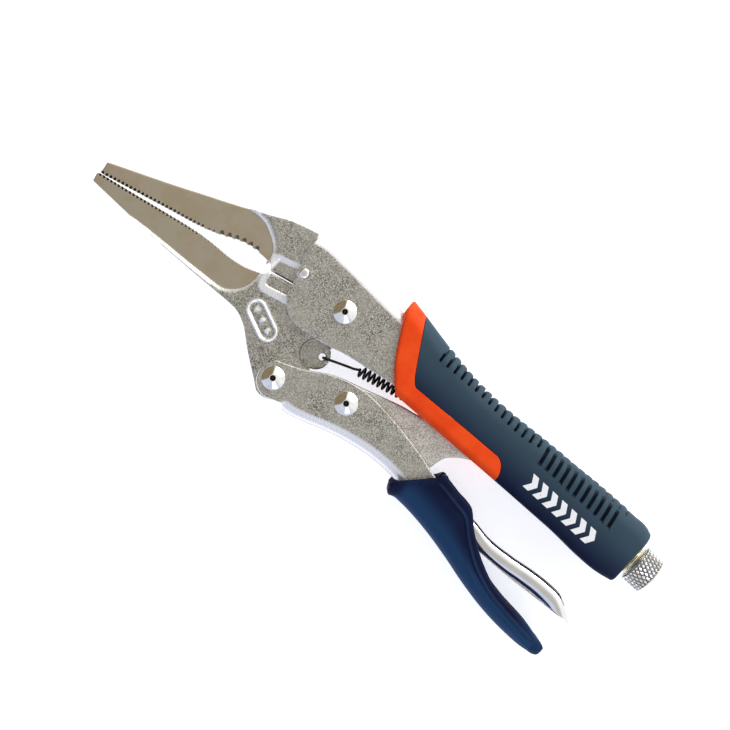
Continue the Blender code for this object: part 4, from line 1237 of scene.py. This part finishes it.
# The lighter slate and sea blue are painted on as light over the two navy grips.
navy_dark, navy_light = (0.0018, 0.0050, 0.028), (0.0032, 0.0085, 0.038)
lit_slate, lit_sea_blue = (0.040, 0.072, 0.098), (0.010, 0.044, 0.120)
marked_rubber = moulded_rubber("navy_rubber_marked", navy_dark, navy_light, chevrons, lit_slate)
tail_rubber = moulded_rubber("navy_rubber_tail", navy_dark, navy_light, None, lit_sea_blue)
orange_rubber = moulded_rubber("orange_rubber", (0.76, 0.056, 0.006), (0.84, 0.078, 0.010))

feet = grip_unfold(np.column_stack((rib_lines, rib_foot(rib_lines))))[:, 1]
rib_creases = [(np.array([(x, -foot - 0.6), (x, foot + 0.6)]), (-0.6, -0.3, 0.0, 0.3, 0.6))
               for x, foot in zip(rib_lines, feet)]
slot_creases = [(grip_unfold(ends) * (1, s), (-width - 0.2, 0.1 - width, 0.0, width - 0.1, width + 0.2))
                for *ends, width in slots for s in (1, -1)]
rubber_rings = (0.1, 0.3, 0.6, 1.0)
# Painted shade darkens the slot and rib-groove bottoms; painted light lightens the grip towards its back and on
# the rib crests.
skin("upper_grip_navy", [both_sides(navy_half)], 1.0, lambda p: grip_wrap(p, -grip_relief(p)), grip_lining,
     rubber_edge, rubber_rings, marked_rubber, "upper_handle", "navy_rubber", ["upper_grip"],
     {"soot": lambda p, edge: ease(-grip_relief(p), 0.35, 0.8),
      "painted_light": lambda p, edge: 0.9 * ease(grip_wrap(p)[:, 1], -7.5, 10) + 0.1 * ease(grip_relief(p), 0.0, 0.3)},
     creases=rib_creases + slot_creases)


def collar_lining(p):
    """The front face of the collar leans back from its rim down to the shell."""
    points = grip_lining(p)
    points[:, 0] = np.maximum(points[:, 0], grip_wrap(p)[:, 0] + 0.3)
    return points


skin("upper_grip_orange", [both_sides(orange_half)], 0.9, grip_wrap, collar_lining, rubber_edge, rubber_rings,
     orange_rubber, "upper_handle", "orange_rubber", ["upper_grip_trim"])


def end_cap(name, loop, holes, seat_x, face_x, rounding_radius, finish, body, slot, marks=None):
    """The closed end of a grip: its section (across, up), rounded over at the rear."""
    reach = face_x - seat_x

    def face(p):
        fall = rounding(distance(p, loop), rounding_radius) * reach / rounding_radius
        return np.column_stack((face_x - fall, p[:, 1], p[:, 0]))

    def back(p):
        return np.column_stack((np.full(len(p), seat_x - 0.6), p[:, 1], p[:, 0]))
    skin(name, [loop, *holes], 0.9, face, back, 0.02, (0.08, 0.25, 0.5, 0.8, 1.2), finish, body, slot, (),
         marks)


around = np.linspace(0, upper_reach, 60)
half_section = grip_wrap(np.column_stack((np.full(60, upper_skin_end), around)))[:, [2, 1]]
section = np.vstack((half_section, (half_section * (-1, 1))[::-1][:-1]))
# Painted light: the end cap is lightened towards its back, like the sleeve.
end_cap("upper_grip_end", section, [arc((0, screw_axis[1]), 5.9, 0, 350, 35)], upper_skin_end, upper_grip_end,
        1.3,
        marked_rubber, "upper_handle", "navy_rubber", {"painted_light": lambda p, edge: 0.9 * ease(p[:, 1], -7.5, 10)})

# ---------------------------------------------------------------------------------------
# Lower grip. A single navy moulding over the rear of the lower shell, open along its inner
# side for the lever, with a raised border that guides the fingers and a rounded tail.

lower_grip_end, lower_skin_end = 124.9, 121.0
lower_widths = (5.5, 7.8, 8.0, 2.2, 4.0)
lower_reach = sum(lower_widths)
lower_edge = smooth_line((40, -16.0), (50, -17.8), (60, -20.2), (75, -22.6), (80, -26.0), (88, -31.2),
                         (97, -34.6),
                         (110, -36.5), (120, -37.6))
lower_inner = smooth_line((48, -17.0), (61, -17.2), (70, -18.6), (75.5, -19.5), (80, -23.5), (84, -26.5),
                          (88, -29.0),
                          (92, -31.0), (97, -33.0), (103, -34.2), (117, -35.7), (124.9, -37.6))
lower_back = smooth_line((48, -34.3), (60, -34.4), (70, -35.6), (80, -37.6), (90, -40.0), (100, -41.8),
                         (112, -42.6),
                         (119, -42.4), (124.9, -41.2))
tail_wrap, tail_unfold = sleeve(lower_back, lower_inner,
                                lambda x: rubber_half - np.maximum(0, x - 112.0) * 0.16,
                                5.0, 1.4, -1, lower_widths)
tail_lining, _ = sleeve(lambda x: lower_spine(x) - 0.3, lambda x: lower_edge(x) + 0.3,
                        lambda x: np.full(np.shape(x), shell_clear), 1.4, 0.3, -1, lower_widths)
border = curve([(57.5, -24.5), (60.5, -21.6), (63.0, -21.0), (70.0, -22.0), (75.0, -22.8), (78.0, -24.8),
                (81.0, -27.4),
                (85, -30.2), (89, -32.6), (94, -34.7), (100, -36.4), (108, -37.4), (116, -38.2), (121, -38.8)],
                5)


streaks = [border[28:] + (0.0, -1.5), border[32:] + (0.0, -2.7)]
lower_front = curve([(50.6, -34.3), (49.9, -33.0), (49.6, -31.7), (52.5, -27.9), (55.3, -24.5), (58.0, -21.3),
                     (60.0, -18.9),
                     (61.0, -17.25)], 5)


def tail_relief(pattern):
    base = tail_wrap(pattern)
    side_view = base[:, :2]
    off = distance(side_view, border, closed=False)
    lift = 0.34 * np.exp(-(off / 0.42) ** 2) - 0.16 * np.exp(-((off - 1.1) / 0.5) ** 2)
    for line in streaks:
        lift = lift + 0.16 * np.exp(-(distance(side_view, line, closed=False) / 0.28) ** 2)
    lift = lift * ease(np.abs(base[:, 2]), 7.5, 8.3) * ease(-base[:, 0], -121.0, -117.0)
    flange = distance(side_view, lower_front, closed=False)
    return lift + 0.34 * (1 - ease(flange, 1.6, 2.1)) + 0.45 * (1 - ease(flange, 2.2, 3.4)) * ease(-side_view[:, 1], 31.5, 34)


def tail_painted_light(pattern, edge):
    """Painted light: the rounded back of the grip, the crests of its border and the tail get a lighter blue."""
    out = np.abs(pattern[:, 1])
    back = ease(out, 3.5, 8.0) * ease(-out, -17.5, -11.0) * ease(pattern[:, 0], 52.5, 56.0)
    crest = 0.55 * ease(tail_relief(pattern), 0.10, 0.3) * ease(pattern[:, 0], 60, 80)
    return np.maximum(np.maximum(back, crest), 0.6 * ease(pattern[:, 0], 108, 121))


tail_half = np.vstack((to_pattern(lower_front, tail_unfold, 50.8, 61.0, lower_reach),
                       [(lower_skin_end, lower_reach), (lower_skin_end, 0.0)]))
# Painted light: the rounded back, the border crests and the tail are lightened.
skin("lower_grip_navy", [both_sides(tail_half)], 0.8, lambda p: tail_wrap(p, -tail_relief(p)), tail_lining,
     lambda p: 0.08 + 1.2 * ease(lower_skin_end - p[:, 0], 0.5, 2.0), (0.1, 0.3, 0.6, 1.0, 1.4), tail_rubber,
     "lower_handle", "navy_rubber", ["lower_grip"], {"painted_light": tail_painted_light},
     creases=[(tail_unfold(border) * (1, s), (-0.9, -0.45, 0.0, 0.45, 0.9)) for s in (1, -1)]
     + [(tail_unfold(line) * (1, s), (-0.3, 0.0, 0.3)) for line in streaks for s in (1, -1)])
around = np.linspace(0, lower_reach, 60)
half_section = tail_wrap(np.column_stack((np.full(60, lower_skin_end), around)))[:, [2, 1]]
section = np.vstack((half_section, (half_section * (-1, 1))[::-1][:-1]))
# Painted light: the whole end cap is lightened part way, like the tail.
end_cap("lower_grip_end", section, [], lower_skin_end, lower_grip_end, 1.8, tail_rubber, "lower_handle",
        "navy_rubber",
        {"painted_light": lambda p, edge: np.full(len(p), 0.6)})

# ---------------------------------------------------------------------------------------
# Setting. The pliers lie on a white table lit faintly from below, under a soft sky: dimmer
# straight overhead, bright towards its rim, with a brown screen beyond the tips.

floor_mesh = bpy.data.meshes.new("table_top")
floor_mesh.from_pydata([(-3, -3, -0.0002), (3, -3, -0.0002), (3, 3, -0.0002), (-3, 3, -0.0002)], [],
                       [(0, 1, 2, 3)])
material, shader, place = new_finish("table_white")
mottle = noise(place, 60.0, 2.0)
feed(shader, Base_Color=mottle.mix(rgb(0.78, 0.79, 0.82), rgb(0.82, 0.83, 0.86)), Roughness=0.75,
     Emission_Color=mottle.mix(rgb(0.90, 0.92, 1.0), rgb(0.93, 0.95, 1.0)), Emission_Strength=0.70)
floor_mesh.materials.append(material)
floor = bpy.data.objects.new("table_top", floor_mesh)
bpy.context.scene.collection.objects.link(floor)

sky = bpy.data.worlds.new("studio")
sky.use_nodes = True
bpy.context.scene.world = sky
bpy.context.scene.view_settings.view_transform = "Standard"
background = sky.node_tree.nodes["Background"]
direction = Flow(sky.node_tree, sky.node_tree.nodes.new("ShaderNodeTexCoord").outputs["Generated"])
parts = direction.node("SeparateXYZ", Vector=direction)
x, y, z = (Flow(sky.node_tree, parts.socket.node.outputs[k]) for k in range(3))
rim = y.step(-0.5, 0.3).mix(rgb(0.66, 0.70, 0.86), rgb(1.04, 1.03, 1.01))
overhead = z.step(0.78, 0.955)
tones = overhead.mix(rim, rgb(0.56, 0.54, 0.50))
screen = (y * 0.03 - x).step(0.48, 0.60) * z.step(0.10, 0.3)
tones = (screen * (1.0 - overhead)).mix(tones, rgb(0.26, 0.205, 0.12))
sky.node_tree.links.new(tones.socket, background.inputs["Color"])
background.inputs["Strength"].default_value = 1.0


def soft_box(name, place, aim, size, power, colour=(1.0, 1.0, 1.0)):
    light = bpy.data.lights.new(name, "AREA")
    light.shape, light.size, light.size_y = "RECTANGLE", *size
    light.energy, light.color = power, colour
    lamp = bpy.data.objects.new(name, light)
    lamp.location = place
    lamp.rotation_euler = (Vector(aim) - Vector(place)).to_track_quat("-Z", "Y").to_euler()
    bpy.context.scene.collection.objects.link(lamp)


soft_box("key_box", (0.05, 1.1, 0.55), (0, 0, 0), (1.2, 0.4), 10.0)
soft_box("fill_box", (0.7, -0.6, 0.7), (0, 0, 0), (0.5, 0.5), 1.5, (0.86, 0.90, 1.0))

view_centre, view_roll, view_distance = (16.9, -8.5, 7.0), 42.7, 575.0
camera = bpy.data.objects.new("camera", bpy.data.cameras.new("camera"))
camera.data.lens, camera.data.sensor_width = 85.0, 36.0
camera.data.clip_start, camera.data.clip_end = 0.01, 20.0
camera.location = Vector(world(*view_centre)) + Vector((0, 0, view_distance * MM))
camera.rotation_euler = (0.0, 0.0, math.radians(view_roll))
bpy.context.scene.collection.objects.link(camera)
bpy.context.scene.camera = camera
